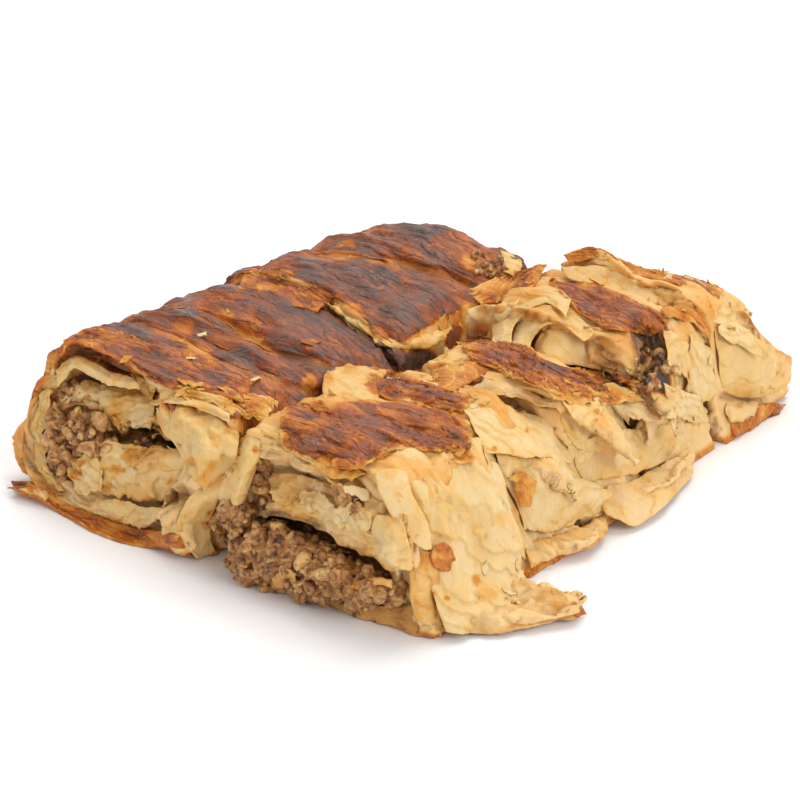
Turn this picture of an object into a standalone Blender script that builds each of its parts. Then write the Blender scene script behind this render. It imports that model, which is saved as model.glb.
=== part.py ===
"""A chopped phyllo pie with a minced meat filling: two columns of cut pieces that still lie as one slab.

Sizes are millimetres in a slab frame: x runs along the cut front, y back along the right side, z up from the
surface that the pie rests on. place() turns them into metres with the origin under the middle of the slab.
"""

import math
import random

import bmesh
import bpy
import numpy as np
from mathutils import Euler, Matrix, Vector, noise

MM = 0.001
SLAB_MIDDLE_X = 59.7
SLAB_MIDDLE_Y = 71.6

LOOP_POINTS = 34
CLEARANCE = 0.45
CRUMB_ROOM = 1.0
TUNNEL_SQUARENESS = 2.6
FLOOR_BAND = 0.9
CRUST_LIP = 0.9
DEEPEST_DENT = -0.7
WALL_WITH_FULL_RIDGES = 11.0
FRONT_RINGS = ((0.22, -0.6), (0.5, 0.9), (0.78, -0.4))
BACK_RINGS = ((0.3, -0.5), (0.7, 0.8))
OPEN_FACE_RELIEF = 1.9

LEFT_HEIGHT = 39.0
RIGHT_HEIGHT = 36.5

PASTRY_COLOUR = (0.80, 0.58, 0.30)
MINCE_COLOUR = (0.27, 0.15, 0.08)


def clear_scene():
    for old in list(bpy.data.objects):
        bpy.data.objects.remove(old)


def food_material(name, colour, roughness):
    made = bpy.data.materials.new(name)
    made.use_nodes = True
    shader = made.node_tree.nodes["Principled BSDF"]
    shader.inputs["Base Color"].default_value = (*colour, 1.0)
    shader.inputs["Roughness"].default_value = roughness
    shader.inputs["Metallic"].default_value = 0.0
    return made


def place(x, y, z):
    """A slab point in millimetres as a scene point in metres."""
    return Vector(((x - SLAB_MIDDLE_X) * MM, (y - SLAB_MIDDLE_Y) * MM, z * MM))


def ripple(x, y, z, size, seed):
    """Smooth noise from -1 to 1 whose bumps are about size millimetres apart."""
    return noise.noise(Vector((x, y, z)) / size + Vector((seed * 7.3, seed * 3.1, seed * 1.7)))


def mix(a, b, t):
    return a + (b - a) * t


def smooth_step(t):
    t = min(max(t, 0.0), 1.0)
    return t * t * (3 - 2 * t)


def dip(value, centre, width):
    """1 at the centre of a crease, falling to 0 about two widths away."""
    return math.exp(-(((value - centre) / width) ** 2))


def smooth_loop(corners, count):
    """A closed Catmull-Rom curve through the corners, as count points evenly spaced along it."""
    corners = np.array(corners, float)
    total = len(corners)
    fine = []
    for i in range(total):
        p0, p1, p2, p3 = (corners[(i + k) % total] for k in (-1, 0, 1, 2))
        for t in np.linspace(0, 1, 12, endpoint=False):
            fine.append(
                0.5
                * (
                    2 * p1
                    + (p2 - p0) * t
                    + (2 * p0 - 5 * p1 + 4 * p2 - p3) * t**2
                    + (3 * p1 - p0 - 3 * p2 + p3) * t**3
                )
            )
    fine = np.array(fine + fine[:1])
    along = np.concatenate([[0], np.cumsum(np.linalg.norm(np.diff(fine, axis=0), axis=1))])
    wanted = np.linspace(0, along[-1], count, endpoint=False)
    return np.stack([np.interp(wanted, along, fine[:, k]) for k in (0, 1)], axis=1)


def block_outline(left, right, height, slope, flare):
    """The (x, z) outline of a right-hand piece, whose right side the knife has dragged outwards to a thin foot."""
    shoulder = right - slope
    return [
        (left + 3, 0),
        (mix(left, right, 0.5), 0),
        (right + flare - 1, 0),
        (right + flare, 1.6),
        (right + 0.35 * flare, 4.5),
        (mix(right, shoulder, 0.35), 0.42 * height),
        (mix(right, shoulder, 0.75), 0.78 * height),
        (shoulder - 4, 0.97 * height),
        (mix(left, shoulder, 0.55), height),
        (left + 8, height),
        (left + 3, 0.93 * height),
        (left + 1.5, 0.7 * height),
        (left - 0.5, 0.4 * height),
        (left, 0.12 * height),
    ]


LEFT_OUTLINE_FRONT = [
    (0, 0),
    (26, 0),
    (51, 0),
    (55, 5),
    (57, 18),
    (60.5, 30),
    (60, 36),
    (48, LEFT_HEIGHT - 0.5),
    (26, LEFT_HEIGHT + 1.5),
    (9, LEFT_HEIGHT),
    (0, 34),
    (-4, 24),
    (-7, 14),
    (-9.5, 7.5),
    (-8.5, 2.5),
]
LEFT_OUTLINE_BACK = [
    (1, 0),
    (28, 0),
    (54, 0),
    (58, 6),
    (60, 18),
    (61, 28),
    (58, 34),
    (44, LEFT_HEIGHT - 3),
    (25, LEFT_HEIGHT - 1),
    (8, LEFT_HEIGHT - 3),
    (-1, 31),
    (-5, 21),
    (-5.5, 11),
    (-4, 3),
]



def narrowed(outline, left, right):
    """The same outline with its left half moved in by left and its right half by right."""
    middle = sum(x for x, z in outline) / len(outline)
    return [(x + left if x < middle else x - right, z) for x, z in outline]


# Each boundary is a cut across a column: where it lies, how it runs askew, and the seed of its waves.
CUTS = {
    "left_front": dict(y=3.0, lean=-8.0, skew=-2.0, from_x=10.0, over=45.0, seed=1),
    "left_middle": dict(y=63.0, lean=0.0, skew=-9.0, from_x=30.0, over=34.0, seed=2),
    "left_back": dict(y=112.0, lean=3.0, skew=3.0, from_x=10.0, over=45.0, seed=3),
    "right_0": dict(y=-0.5, lean=-4.0, skew=-0.5, from_x=62.0, over=45.0, seed=4),
    "right_1": dict(y=30.0, lean=2.0, skew=1.0, from_x=62.0, over=45.0, seed=5),
    "right_2": dict(y=54.5, lean=2.0, skew=1.0, from_x=62.0, over=45.0, seed=6),
    "right_3": dict(y=86.0, lean=0.0, skew=-2.0, from_x=62.0, over=45.0, seed=7),
    "right_4": dict(y=112.5, lean=0.0, skew=2.0, from_x=62.0, over=45.0, seed=8),
    "right_5": dict(y=149.0, lean=3.0, skew=1.0, from_x=62.0, over=45.0, seed=9),
}
CUT_WAVE = 1.3
KERF = 1.55
LEAN_HEIGHT = 34.0


def cut_y(cut, x, z):
    """Where the wavy knife cut lies at this height and place along it; lean moves the foot of its left end."""
    c = CUTS[cut]
    along = smooth_step((x - c["from_x"]) / c["over"])
    return (
        c["y"]
        + c["lean"] * (1 - smooth_step(z / LEAN_HEIGHT)) * (1 - along)
        + c["skew"] * along
        + CUT_WAVE * ripple(x, c["seed"] * 40, z, 16, c["seed"])
    )


PIECES = [
    dict(
        name="left_front",
        front=LEFT_OUTLINE_FRONT,
        back=LEFT_OUTLINE_BACK,
        cuts=("left_front", "left_middle"),
        kerf=(0.0, KERF),
        stations=11,
        creases=((21.5, 0.02, 2.8, 3.0), (38.5, -0.12, 3.2, 3.2)),
        end_drop=(1.0, 4.5),
        tunnel=dict(x=24.5, z=19.5, half_width=20.5, half_height=5.6, gap=1.2, spill=0.8),
        pocket=dict(x=20.0, z=33.0, half_width=13.0, half_height=4.0, depth=7.0),
        crumbs=14,
        seed=11,
    ),
    dict(
        name="left_back",
        front=narrowed(LEFT_OUTLINE_BACK, 0.0, 2.0),
        back=narrowed(LEFT_OUTLINE_BACK, 6.0, 5.5),
        cuts=("left_middle", "left_back"),
        kerf=(KERF, 0.0),
        stations=9,
        creases=((86.0, 0.2, 3.2, 3.4),),
        end_drop=(0.0, 1.5),
        tunnel=dict(x=29.0, z=18.5, half_width=22.0, half_height=5.0, gap=0.0, spill=0.0),
        crumbs=9,
        seed=12,
    ),
    dict(
        name="right_1",
        front=block_outline(60.0, 110.5, RIGHT_HEIGHT, 4.0, 3.0),
        back=block_outline(61.0, 110.0, RIGHT_HEIGHT - 1, 6.0, 5.0),
        cuts=("right_0", "right_1"),
        kerf=(0.0, KERF),
        stations=6,
        creases=(),
        end_drop=(0.5, 2.5),
        tunnel=dict(x=82.5, z=10.4, half_width=20.0, half_height=6.6, gap=3.4, spill=3.6),
        crumbs=22,
        seed=13,
    ),
    dict(
        name="right_2",
        front=block_outline(61.5, 108.0, RIGHT_HEIGHT - 3, 10.0, 4.0),
        back=block_outline(62.5, 109.0, RIGHT_HEIGHT - 5, 12.0, 5.0),
        cuts=("right_1", "right_2"),
        kerf=(KERF, KERF),
        stations=5,
        creases=(),
        end_drop=(2.0, 3.5),
        tunnel=dict(x=83.0, z=13.0, half_width=18.0, half_height=4.6, gap=0.0, spill=0.0),
        crumbs=5,
        seed=14,
    ),
    dict(
        name="right_3",
        front=block_outline(64.0, 109.5, RIGHT_HEIGHT - 3, 5.0, 5.0),
        back=block_outline(65.0, 109.0, RIGHT_HEIGHT - 8, 8.0, 4.0),
        cuts=("right_2", "right_3"),
        kerf=(KERF, KERF),
        stations=6,
        creases=(),
        end_drop=(1.5, 3.5),
        tunnel=dict(x=84.0, z=12.5, half_width=17.0, half_height=4.6, gap=0.0, spill=0.0),
        crumbs=5,
        seed=15,
    ),
    dict(
        name="right_4",
        front=block_outline(61.0, 110.5, RIGHT_HEIGHT, 5.0, 2.0),
        back=block_outline(58.5, 110.0, RIGHT_HEIGHT - 0.5, 5.0, 1.5),
        cuts=("right_3", "right_4"),
        kerf=(KERF, KERF),
        stations=5,
        creases=(),
        end_drop=(1.5, 2.5),
        tunnel=dict(x=95.0, z=18.5, half_width=12.0, half_height=7.0, gap=1.5, spill=0.0),
        crumbs=12,
        seed=16,
    ),
    dict(
        name="right_5",
        front=block_outline(64.0, 111.0, RIGHT_HEIGHT + 1.5, 7.0, 1.0),
        back=block_outline(66.0, 108.0, RIGHT_HEIGHT - 10, 9.0, 3.0),
        cuts=("right_4", "right_5"),
        kerf=(KERF, 0.0),
        stations=7,
        creases=(),
        end_drop=(0.5, 4.0),
        tunnel=dict(x=84.5, z=14.5, half_width=14.5, half_height=4.8, gap=0.0, spill=0.0),
        crumbs=7,
        seed=17,
    ),
]


def crust_height(piece, x, y, z, t):
    """The height of a point once creases, dropped ends and crust wrinkles are pressed into the upper half."""
    share = smooth_step((z - 16.0) / 16.0)
    drop = piece["end_drop"][0] * dip(t, 0.0, 0.12) + piece["end_drop"][1] * dip(t, 1.0, 0.16)
    for middle, skew, width, depth in piece["creases"]:
        drop += depth * dip(y, middle + skew * x, width)
    wrinkle = 0.9 * ripple(x * 0.5, y * 1.6, 0, 9, piece["seed"])
    return z + share * (wrinkle - drop)


def side_relief(piece, x, y, z):
    """How far the sheets stand out of a side: steps of stacked layers, crossed by folds that the knife pulled down."""
    step = math.sin(2 * math.pi * z / 5.2 + 2.2 * ripple(x, y, 0, 13, piece["seed"]))
    fold = ripple(x * 0.2, y, z * 0.25, 6.5, piece["seed"] + 0.5)
    return 0.45 * step + 1.7 * fold


def outer_point(piece, corner, outward, t, y_front, y_back):
    x, z = corner
    y = mix(y_front, y_back, t)
    if z < FLOOR_BAND:
        return (x, y, 0.0)
    lift = max(side_relief(piece, x, y, z), DEEPEST_DENT) * smooth_step(z / 5.0)
    moved_x = x + outward[0] * lift * abs(outward[0])
    moved_z = crust_height(piece, x, y, z, t) + outward[1] * lift * 0.4
    overhang = CRUST_LIP * smooth_step((z - 29.0) / 4.0)
    y += overhang * (dip(t, 1.0, 0.05) - dip(t, 0.0, 0.05))
    return (moved_x, y, max(moved_z, FLOOR_BAND * 1.5))


def outward_normals(loop):
    """Unit normals of a counter-clockwise (x, z) loop."""
    ahead = np.roll(loop, -1, axis=0) - np.roll(loop, 1, axis=0)
    normals = np.stack([ahead[:, 1], -ahead[:, 0]], axis=1)
    return normals / np.linalg.norm(normals, axis=1)[:, None]


def tunnel_point(tunnel, angle, shrink=0.0, gap=0.0):
    """A point of the filling's flat oval section; gap lowers only its upper half."""
    power = 2.0 / TUNNEL_SQUARENESS
    c, s = math.cos(angle), math.sin(angle)
    x = tunnel["x"] + (tunnel["half_width"] - shrink) * math.copysign(abs(c) ** power, c)
    z = tunnel["z"] + (tunnel["half_height"] - shrink) * math.copysign(abs(s) ** power, s)
    return x, z - gap * max(s, 0.0)


def pocket_depth(pocket, x, z):
    """How deep the air pocket under the top crust is at a point of the front face."""
    across = (x - pocket["x"]) / pocket["half_width"]
    upright = (z - pocket["z"]) / pocket["half_height"]
    return pocket["depth"] * math.exp(-(across**4) - upright**2)


def angles_round(tunnel, loop):
    """The angle of each (x, z) point round the tunnel's axis, as its flat oval section counts it."""
    upright = (loop[:, 1] - tunnel["z"]) / tunnel["half_height"]
    across = (loop[:, 0] - tunnel["x"]) / tunnel["half_width"]
    return np.arctan2(upright, across)


def tunnel_angles(piece):
    """The tunnel's angle opposite each of the evenly spread points of the piece's front outline."""
    return angles_round(piece["tunnel"], smooth_loop(piece["front"], LOOP_POINTS))


def outline_at_angles(tunnel, outline, angles):
    """The outline's points straight out from the tunnel at these angles, so that no wall crosses the tunnel."""
    fine = smooth_loop(outline, 12 * LOOP_POINTS)
    found = angles_round(tunnel, fine)
    return np.stack([np.interp(angles, found, fine[:, k], period=math.tau) for k in (0, 1)], axis=1)


def held_in_tunnel(tunnel, x, z, room):
    """The same (x, z), drawn towards the tunnel's axis if it is nearer than room to the wall."""
    across = abs(x - tunnel["x"]) / (tunnel["half_width"] - room)
    upright = abs(z - tunnel["z"]) / (tunnel["half_height"] - room)
    reach = (across**TUNNEL_SQUARENESS + upright**TUNNEL_SQUARENESS) ** (1 / TUNNEL_SQUARENESS)
    pull = max(reach, 1.0)
    return mix(tunnel["x"], x, 1 / pull), mix(tunnel["z"], z, 1 / pull)


def bridge(mesh, rows):
    """Quads between neighbouring rows of the same number of points, each row a closed loop."""
    for a, b in zip(rows, rows[1:]):
        for j, point in enumerate(a):
            k = (j + 1) % len(a)
            mesh.faces.new((point, a[k], b[k], b[j]))


def close_end(mesh, row):
    """A fan of triangles from a row of points to its middle."""
    middle = mesh.verts.new(sum((point.co for point in row), Vector()) / len(row))
    for j, point in enumerate(row):
        mesh.faces.new((point, row[(j + 1) % len(row)], middle))


def pastry_mesh(piece):
    """The dough of one piece: an outer skin, a tunnel for the filling, and ridged cut faces between the two."""
    tunnel = piece["tunnel"]
    angles = tunnel_angles(piece)
    fronts = outline_at_angles(tunnel, piece["front"], angles)
    backs = outline_at_angles(tunnel, piece["back"], angles)
    stations = piece["stations"]
    first, last = piece["cuts"]
    mesh = bmesh.new()
    outer, inner = [], []
    for i in range(stations + 1):
        t = i / stations
        loop = mix(fronts, backs, t)
        normals = outward_normals(loop)
        outer_row, inner_row = [], []
        for corner, outward, angle in zip(loop, normals, angles):
            x, z = corner
            y_front = cut_y(first, x, z) + piece["kerf"][0]
            y_back = cut_y(last, x, z) - piece["kerf"][1]
            outer_row.append(outer_point(piece, corner, outward, t, y_front, y_back))
            inner_x, inner_z = tunnel_point(tunnel, angle)
            inner_y = mix(
                cut_y(first, inner_x, inner_z) + piece["kerf"][0],
                cut_y(last, inner_x, inner_z) - piece["kerf"][1],
                t,
            )
            inner_row.append((inner_x, inner_y, inner_z))
        outer.append(outer_row)
        if i in (0, stations):
            inner.append(inner_row)

    def ring_of(outer_row, inner_row, share, push, side):
        row = []
        for a, b in zip(outer_row, inner_row):
            x, y, z = (mix(a[k], b[k], share) for k in range(3))
            wall = math.hypot(a[0] - b[0], a[2] - b[2])
            ridge = push * min(wall / WALL_WITH_FULL_RIDGES, 1.0) * (1 + 0.6 * ripple(x, y, z, 7, piece["seed"]))
            if piece["kerf"][0 if side > 0 else 1] == 0.0:
                ridge *= OPEN_FACE_RELIEF
            if "pocket" in piece and side > 0:
                ridge += pocket_depth(piece["pocket"], x, z)
            row.append((x, y + side * ridge, z))
        return row

    # The rows run round the cross section: out along the skin, over the back face, and home through the tunnel.
    rows = list(outer)
    rows += [ring_of(outer[-1], inner[-1], share, push, -1) for share, push in BACK_RINGS]
    rows += inner[::-1]
    rows += [ring_of(outer[0], inner[0], share, push, 1) for share, push in reversed(FRONT_RINGS)]
    verts = [[mesh.verts.new(place(*point)) for point in row] for row in rows]
    bridge(mesh, verts + verts[:1])
    bmesh.ops.recalc_face_normals(mesh, faces=mesh.faces)
    return mesh


def mince_mesh(piece):
    """The filling's core: a lumpy bar that fills the tunnel, sunk below its roof where the pie has opened."""
    tunnel = piece["tunnel"]
    angles = tunnel_angles(piece)[::2]
    stations = max(4, piece["stations"] - 1)
    first, last = piece["cuts"]
    mesh = bmesh.new()
    rows = []
    for i in range(stations + 1):
        t = i / stations
        row = []
        opening = tunnel["gap"] * (1 - smooth_step(t / 0.8))
        for angle in angles:
            shrink = CLEARANCE + 0.35 * (1 + ripple(angle * 9, t * 30, 0, 5, piece["seed"]))
            x, z = tunnel_point(tunnel, angle, shrink, opening)
            spill = tunnel["spill"] * smooth_step((tunnel["z"] - z) / tunnel["half_height"] + 0.6)
            y_front = cut_y(first, x, z) + piece["kerf"][0] + 0.6 - spill
            y_back = cut_y(last, x, z) - piece["kerf"][1] - 0.6
            row.append(mesh.verts.new(place(x, mix(y_front, y_back, t), z)))
        rows.append(row)
    bridge(mesh, rows)
    close_end(mesh, rows[0])
    close_end(mesh, rows[-1])
    bmesh.ops.recalc_face_normals(mesh, faces=mesh.faces)
    return mesh


def object_from(mesh, name, material):
    data = bpy.data.meshes.new(name)
    mesh.to_mesh(data)
    mesh.free()
    made = bpy.data.objects.new(name, data)
    bpy.context.scene.collection.objects.link(made)
    data.materials.append(material)
    data.shade_smooth()
    return made


def keep_largest_shell(data):
    """Drops loose scraps and fills sealed hollows: both are shells apart from the largest one."""
    mesh = bmesh.new()
    mesh.from_mesh(data)
    waiting = set(mesh.verts)
    shells = []
    while waiting:
        shell = {waiting.pop()}
        edge_of_shell = list(shell)
        while edge_of_shell:
            vert = edge_of_shell.pop()
            found = {edge.other_vert(vert) for edge in vert.link_edges} - shell
            shell |= found
            edge_of_shell += found
        waiting -= shell
        shells.append(shell)
    largest = max(shells, key=len)
    scraps = [vert for vert in mesh.verts if vert not in largest]
    bmesh.ops.delete(mesh, geom=scraps, context="VERTS")
    mesh.to_mesh(data)
    mesh.free()


def fuse(target, pieces):
    """Joins the pieces onto the target with one Boolean union, then removes them."""
    group = bpy.data.collections.new("fused_onto_" + target.name)
    bpy.context.scene.collection.children.link(group)
    for piece in pieces:
        bpy.context.scene.collection.objects.unlink(piece)
        group.objects.link(piece)
    union = target.modifiers.new("union", "BOOLEAN")
    union.operation = "UNION"
    union.operand_type = "COLLECTION"
    union.collection = group
    union.solver = "EXACT"
    union.use_self = True
    bpy.context.view_layer.update()
    fused = bpy.data.meshes.new_from_object(target.evaluated_get(bpy.context.evaluated_depsgraph_get()))
    target.modifiers.clear()
    keep_largest_shell(fused)
    target.data = fused
    for piece in pieces:
        bpy.data.objects.remove(piece)
    bpy.data.collections.remove(group)


def crumb(name, tunnel, x, y, z, size, draw, material):
    """One crumb of mince: a squashed and turned twenty-sided lump, held clear of the tunnel's wall."""
    mesh = bmesh.new()
    bmesh.ops.create_icosphere(mesh, subdivisions=1, radius=size * MM)
    for vert in mesh.verts:
        vert.co *= draw.uniform(0.8, 1.2)
    stretch = Matrix.Diagonal((draw.uniform(0.9, 1.5), draw.uniform(0.8, 1.1), draw.uniform(0.7, 1.0), 1.0))
    turn = Euler([draw.uniform(0, math.tau) for _ in range(3)]).to_matrix().to_4x4()
    for vert in mesh.verts:
        spot = turn @ stretch @ vert.co / MM + Vector((x, y, z))
        held_x, held_z = held_in_tunnel(tunnel, spot.x, spot.z, CRUMB_ROOM)
        vert.co = place(held_x, spot.y, held_z)
    bmesh.ops.recalc_face_normals(mesh, faces=mesh.faces)
    return object_from(mesh, name, material)


def crumbs_on_face(piece, material):
    """Crumbs over the filling's front face, spread on a golden-angle spiral."""
    draw = random.Random(piece["seed"])
    tunnel = piece["tunnel"]
    made = []
    for i in range(piece["crumbs"]):
        share = math.sqrt((i + 0.5) / piece["crumbs"])
        angle = i * math.pi * (3 - math.sqrt(5))
        x = tunnel["x"] + share * math.cos(angle) * (tunnel["half_width"] - 3.2)
        z = tunnel["z"] + share * math.sin(angle) * (tunnel["half_height"] - 3.0)
        z -= 0.5 * tunnel["gap"] * (1 + math.sin(angle))
        spill = tunnel["spill"] * smooth_step((tunnel["z"] - z) / tunnel["half_height"] + 0.6)
        y = cut_y(piece["cuts"][0], x, z) + piece["kerf"][0] - spill + draw.uniform(-0.2, 0.9)
        made.append(crumb(f"crumb_{i}", tunnel, x, y, z, draw.uniform(1.4, 1.95), draw, material))
    return made


def leaf(name, path, half_width, thickness, material, curl=0.0):
    """A thin torn sheet of dough: a wavy strip along a path of (x, y, z) points, with a blunt front edge."""
    path = np.array(path, float)
    mesh = bmesh.new()
    rows = []
    for i, point in enumerate(path):
        share = i / (len(path) - 1)
        ahead = path[min(i + 1, len(path) - 1)] - path[max(i - 1, 0)]
        across = np.cross(ahead, (0, 0, 1.0))
        across /= np.linalg.norm(across)
        width = half_width * (1 - 0.75 * share**2)
        upper, lower = [], []
        for side in (-1.0, -0.35, 0.35, 1.0):
            centre = point + across * width * side
            centre[2] += curl * side * side * share
            centre[2] = max(centre[2], thickness * 0.5 + 0.05)
            upper.append(mesh.verts.new(place(centre[0], centre[1], centre[2] + thickness / 2)))
            lower.append(mesh.verts.new(place(centre[0], centre[1], centre[2] - thickness / 2)))
        rows.append(upper + lower[::-1])
    bridge(mesh, rows)
    mesh.faces.new(rows[0])
    mesh.faces.new(rows[-1])
    bmesh.ops.recalc_face_normals(mesh, faces=mesh.faces)
    return object_from(mesh, name, material)


def dough_roll(name, path, radius, material, sides=8):
    """A soft finger of folded dough that follows a path of (x, y, z) points and closes at both ends."""
    path = np.array(path, float)
    mesh = bmesh.new()
    rows = []
    for i, point in enumerate(path):
        ahead = path[min(i + 1, len(path) - 1)] - path[max(i - 1, 0)]
        ahead /= np.linalg.norm(ahead)
        across = np.cross(ahead, (0, 1.0, 0))
        across /= np.linalg.norm(across)
        deep = np.cross(across, ahead)
        share = i / (len(path) - 1)
        thick = radius * (0.55 + 0.45 * math.sin(math.pi * min(max(share, 0.08), 0.92)))
        row = []
        for j in range(sides):
            angle = math.tau * j / sides
            spot = point + thick * (across * math.cos(angle) + deep * 0.8 * math.sin(angle))
            row.append(mesh.verts.new(place(spot[0], spot[1], max(spot[2], 0.15))))
        rows.append(row)
    bridge(mesh, rows)
    mesh.faces.new(rows[0])
    mesh.faces.new(rows[-1])
    bmesh.ops.recalc_face_normals(mesh, faces=mesh.faces)
    return object_from(mesh, name, material)


def left_front_folds(dough):
    """The crust's turned-up tip at the left corner and the two folds that sag out of the cut between the columns."""
    return [
        leaf("corner_tip", [(6, -3, 2.0), (-1, -4, 2.2), (-6, -5, 2.6), (-11.5, -6.5, 4.0)], 4.5, 1.5, dough, 0.6),
        leaf("peeled_crust", [(-2, 6, 13), (-7, 4, 12.5), (-11, 3, 13.5), (-13, 2, 16)], 5.0, 1.5, dough, 0.8),
        dough_roll(
            "sagging_fold",
            [(37, 2, 33), (45, -1, 31.5), (51.5, -3, 26.5), (52, -4.5, 20), (47, -5, 14.5), (44, -2, 11)],
            4.5,
            dough,
        ),
        dough_roll("falling_fold", [(49, -1, 19), (46.5, -5, 12.5), (47, -6.5, 6.5), (50, -6, 2.8)], 4.5, dough),
    ]


def right_1_folds(dough):
    """The finger of dough at the cut, the torn flap on the front corner and the foot that spreads to a tip."""
    return [
        dough_roll("hanging_finger", [(66, 3, 32.5), (63, -2, 28), (61.5, -5, 20), (62, -3, 13.5)], 2.9, dough),
        leaf("torn_flap", [(84, 0.5, 34), (92, -2.5, 30), (101, -4.5, 23), (107, -5, 15.5)], 4.0, 1.4, dough, 0.4),
        leaf(
            "spread_foot",
            [(104, 14, 2.4), (113, 16, 2.0), (121, 20, 2.0), (127, 23, 2.2), (132, 25, 2.8)],
            10.5,
            1.8,
            dough,
            1.2,
        ),
    ]


def right_2_folds(dough):
    """Two sheets that hang out of the piece's side."""
    return [
        leaf("upper_sheet", [(99, 44, 25), (105, 46, 22), (110, 49, 17), (113, 51, 12)], 5.0, 1.4, dough, 0.5),
        leaf("side_foot", [(104, 42, 3.0), (110, 46, 2.6), (115, 50, 2.8), (118, 52, 4.0)], 6.0, 1.6, dough, 1.0),
    ]


def right_3_folds(dough):
    """The boat-shaped sheet that the knife dragged out of the piece's foot, and a torn sheet above it."""
    return [
        leaf("boat_sheet", [(107, 62, 2.4), (111.5, 72, 2.8), (114.5, 84, 3.4), (115, 95, 5.0)], 4.5, 1.8, dough, 2.0),
        leaf("hanging_sheet", [(100, 66, 27), (107, 68, 24), (112, 71, 18), (113.5, 73, 13)], 6.0, 1.4, dough, 0.6),
    ]


def right_4_folds(dough):
    """The frayed sheets beside the opening, and the rolled sheet that shows on the piece's front."""
    return [
        leaf("frayed_sheet", [(103, 92, 31), (109, 90, 27), (113, 89, 20), (114, 90, 13)], 5.0, 1.4, dough, 0.5),
        dough_roll("rolled_sheet", [(70, 84.5, 26), (76, 83.5, 28.5), (83, 84, 27), (86, 85, 22)], 3.0, dough),
    ]


def right_5_folds(dough):
    """The curled crust at the piece's highest corner, and the fat fold at its right side."""
    return [
        dough_roll("crust_peak", [(66, 114, 34), (71, 113.8, 38.5), (77, 114, 39.8), (85, 114.5, 37)], 2.4, dough),
        dough_roll("corner_fold", [(101, 140, 24), (106, 138, 20), (109, 136, 13), (108, 137, 7)], 5.6, dough),
    ]


FOLDS = {
    "left_front": left_front_folds,
    "right_1": right_1_folds,
    "right_2": right_2_folds,
    "right_3": right_3_folds,
    "right_4": right_4_folds,
    "right_5": right_5_folds,
}


def build():
    clear_scene()
    dough = food_material("pastry", PASTRY_COLOUR, 0.6)
    mince = food_material("mince", MINCE_COLOUR, 0.5)
    for piece in PIECES:
        body = object_from(pastry_mesh(piece), piece["name"] + "_pastry", dough)
        if piece["name"] in FOLDS:
            fuse(body, FOLDS[piece["name"]](dough))
        filling = object_from(mince_mesh(piece), piece["name"] + "_mince", mince)
        fuse(filling, crumbs_on_face(piece, mince))


build()
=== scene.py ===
# %% [markdown]
# # A chopped minced meat pie of phyllo dough
#
# The real thing is a sheet of stretched dough, oiled, filled with cooked mince, rolled up and baked. A vendor
# chops it into pieces that still lie as one slab. What the eye reads is a glossy wrinkled brown crust on top, pale
# dough in torn and folded sheets at the cuts, and crumbs of mince that spill out between them.
#
# The solids of the pie come in as a fixed frame. Every piece made here lies on them, in the same place.

# %% Load the frame
import itertools
import math

import bmesh
import bpy
import numpy as np
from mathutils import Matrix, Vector
from mathutils.bvhtree import BVHTree


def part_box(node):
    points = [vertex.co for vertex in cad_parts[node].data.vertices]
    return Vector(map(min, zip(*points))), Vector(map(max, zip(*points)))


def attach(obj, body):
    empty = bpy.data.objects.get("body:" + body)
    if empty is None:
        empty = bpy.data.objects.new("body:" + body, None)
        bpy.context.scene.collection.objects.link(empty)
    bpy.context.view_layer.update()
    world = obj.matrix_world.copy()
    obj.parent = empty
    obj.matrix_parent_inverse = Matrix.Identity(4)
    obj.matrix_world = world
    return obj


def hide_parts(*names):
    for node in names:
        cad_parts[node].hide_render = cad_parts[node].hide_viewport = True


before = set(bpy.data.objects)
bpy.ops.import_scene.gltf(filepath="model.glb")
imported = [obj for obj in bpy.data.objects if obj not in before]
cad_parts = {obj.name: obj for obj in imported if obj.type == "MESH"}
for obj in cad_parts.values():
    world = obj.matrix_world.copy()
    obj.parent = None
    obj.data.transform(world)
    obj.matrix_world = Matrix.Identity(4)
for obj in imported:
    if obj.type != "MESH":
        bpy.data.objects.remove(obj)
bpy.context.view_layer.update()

# %% [markdown]
# All shapes are thought out in millimetres in the slab's own axes: x along the cut front, y back along the right
# side, z up. One function turns them into metres in the scene, where the slab's middle is the origin.

# %% Slab millimetres
MM = 0.001
SLAB_MIDDLE = np.array([59.7, 71.6, 0.0])


def in_scene(points):
    """Slab millimetres as metres in the scene."""
    return (np.asarray(points, float) - SLAB_MIDDLE) * MM


def in_slab(points):
    """Metres in the scene as slab millimetres."""
    return np.asarray(points, float) / MM + SLAB_MIDDLE


# %% [markdown]
# Dough is uneven at every scale, so noise is used everywhere. Working on whole arrays of points at once keeps that
# quick. The noise here is gradient noise: a random slope sits at each corner of a grid, and the eight slopes round
# a point are blended. Giving a different size for each axis stretches the bumps into fibres and folds.

# %% Noise for arrays of points
SLOPES = np.random.default_rng(7).normal(size=(256, 3))
SLOPES /= np.linalg.norm(SLOPES, axis=1)[:, None]
SHIFT_BY_SEED = 17.31
PRIMES = np.array([73856093, 19349663, 83492791])
FULL_HEIGHT = 1.6
CREASE_STEEPNESS = 2.2


def bumps(points, size, seed=0):
    """Smooth noise, about -1 to 1, whose bumps are about size millimetres apart along each axis."""
    p = np.asarray(points, float) / np.asarray(size, float) + SHIFT_BY_SEED * (seed + 1)
    cell = np.floor(p).astype(np.int64)
    inside = p - cell
    blend = inside**3 * (inside * (inside * 6 - 15) + 10)
    total = np.zeros(len(p))
    for corner in itertools.product((0, 1), repeat=3):
        mixed = np.bitwise_xor.reduce((cell + corner) * PRIMES, axis=1)
        slope = SLOPES[(mixed ^ (mixed >> 9) ^ (mixed >> 17)) & 255]
        weight = np.prod(np.where(corner, blend, 1 - blend), axis=1)
        total += weight * np.sum(slope * (inside - corner), axis=1)
    return FULL_HEIGHT * total


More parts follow.
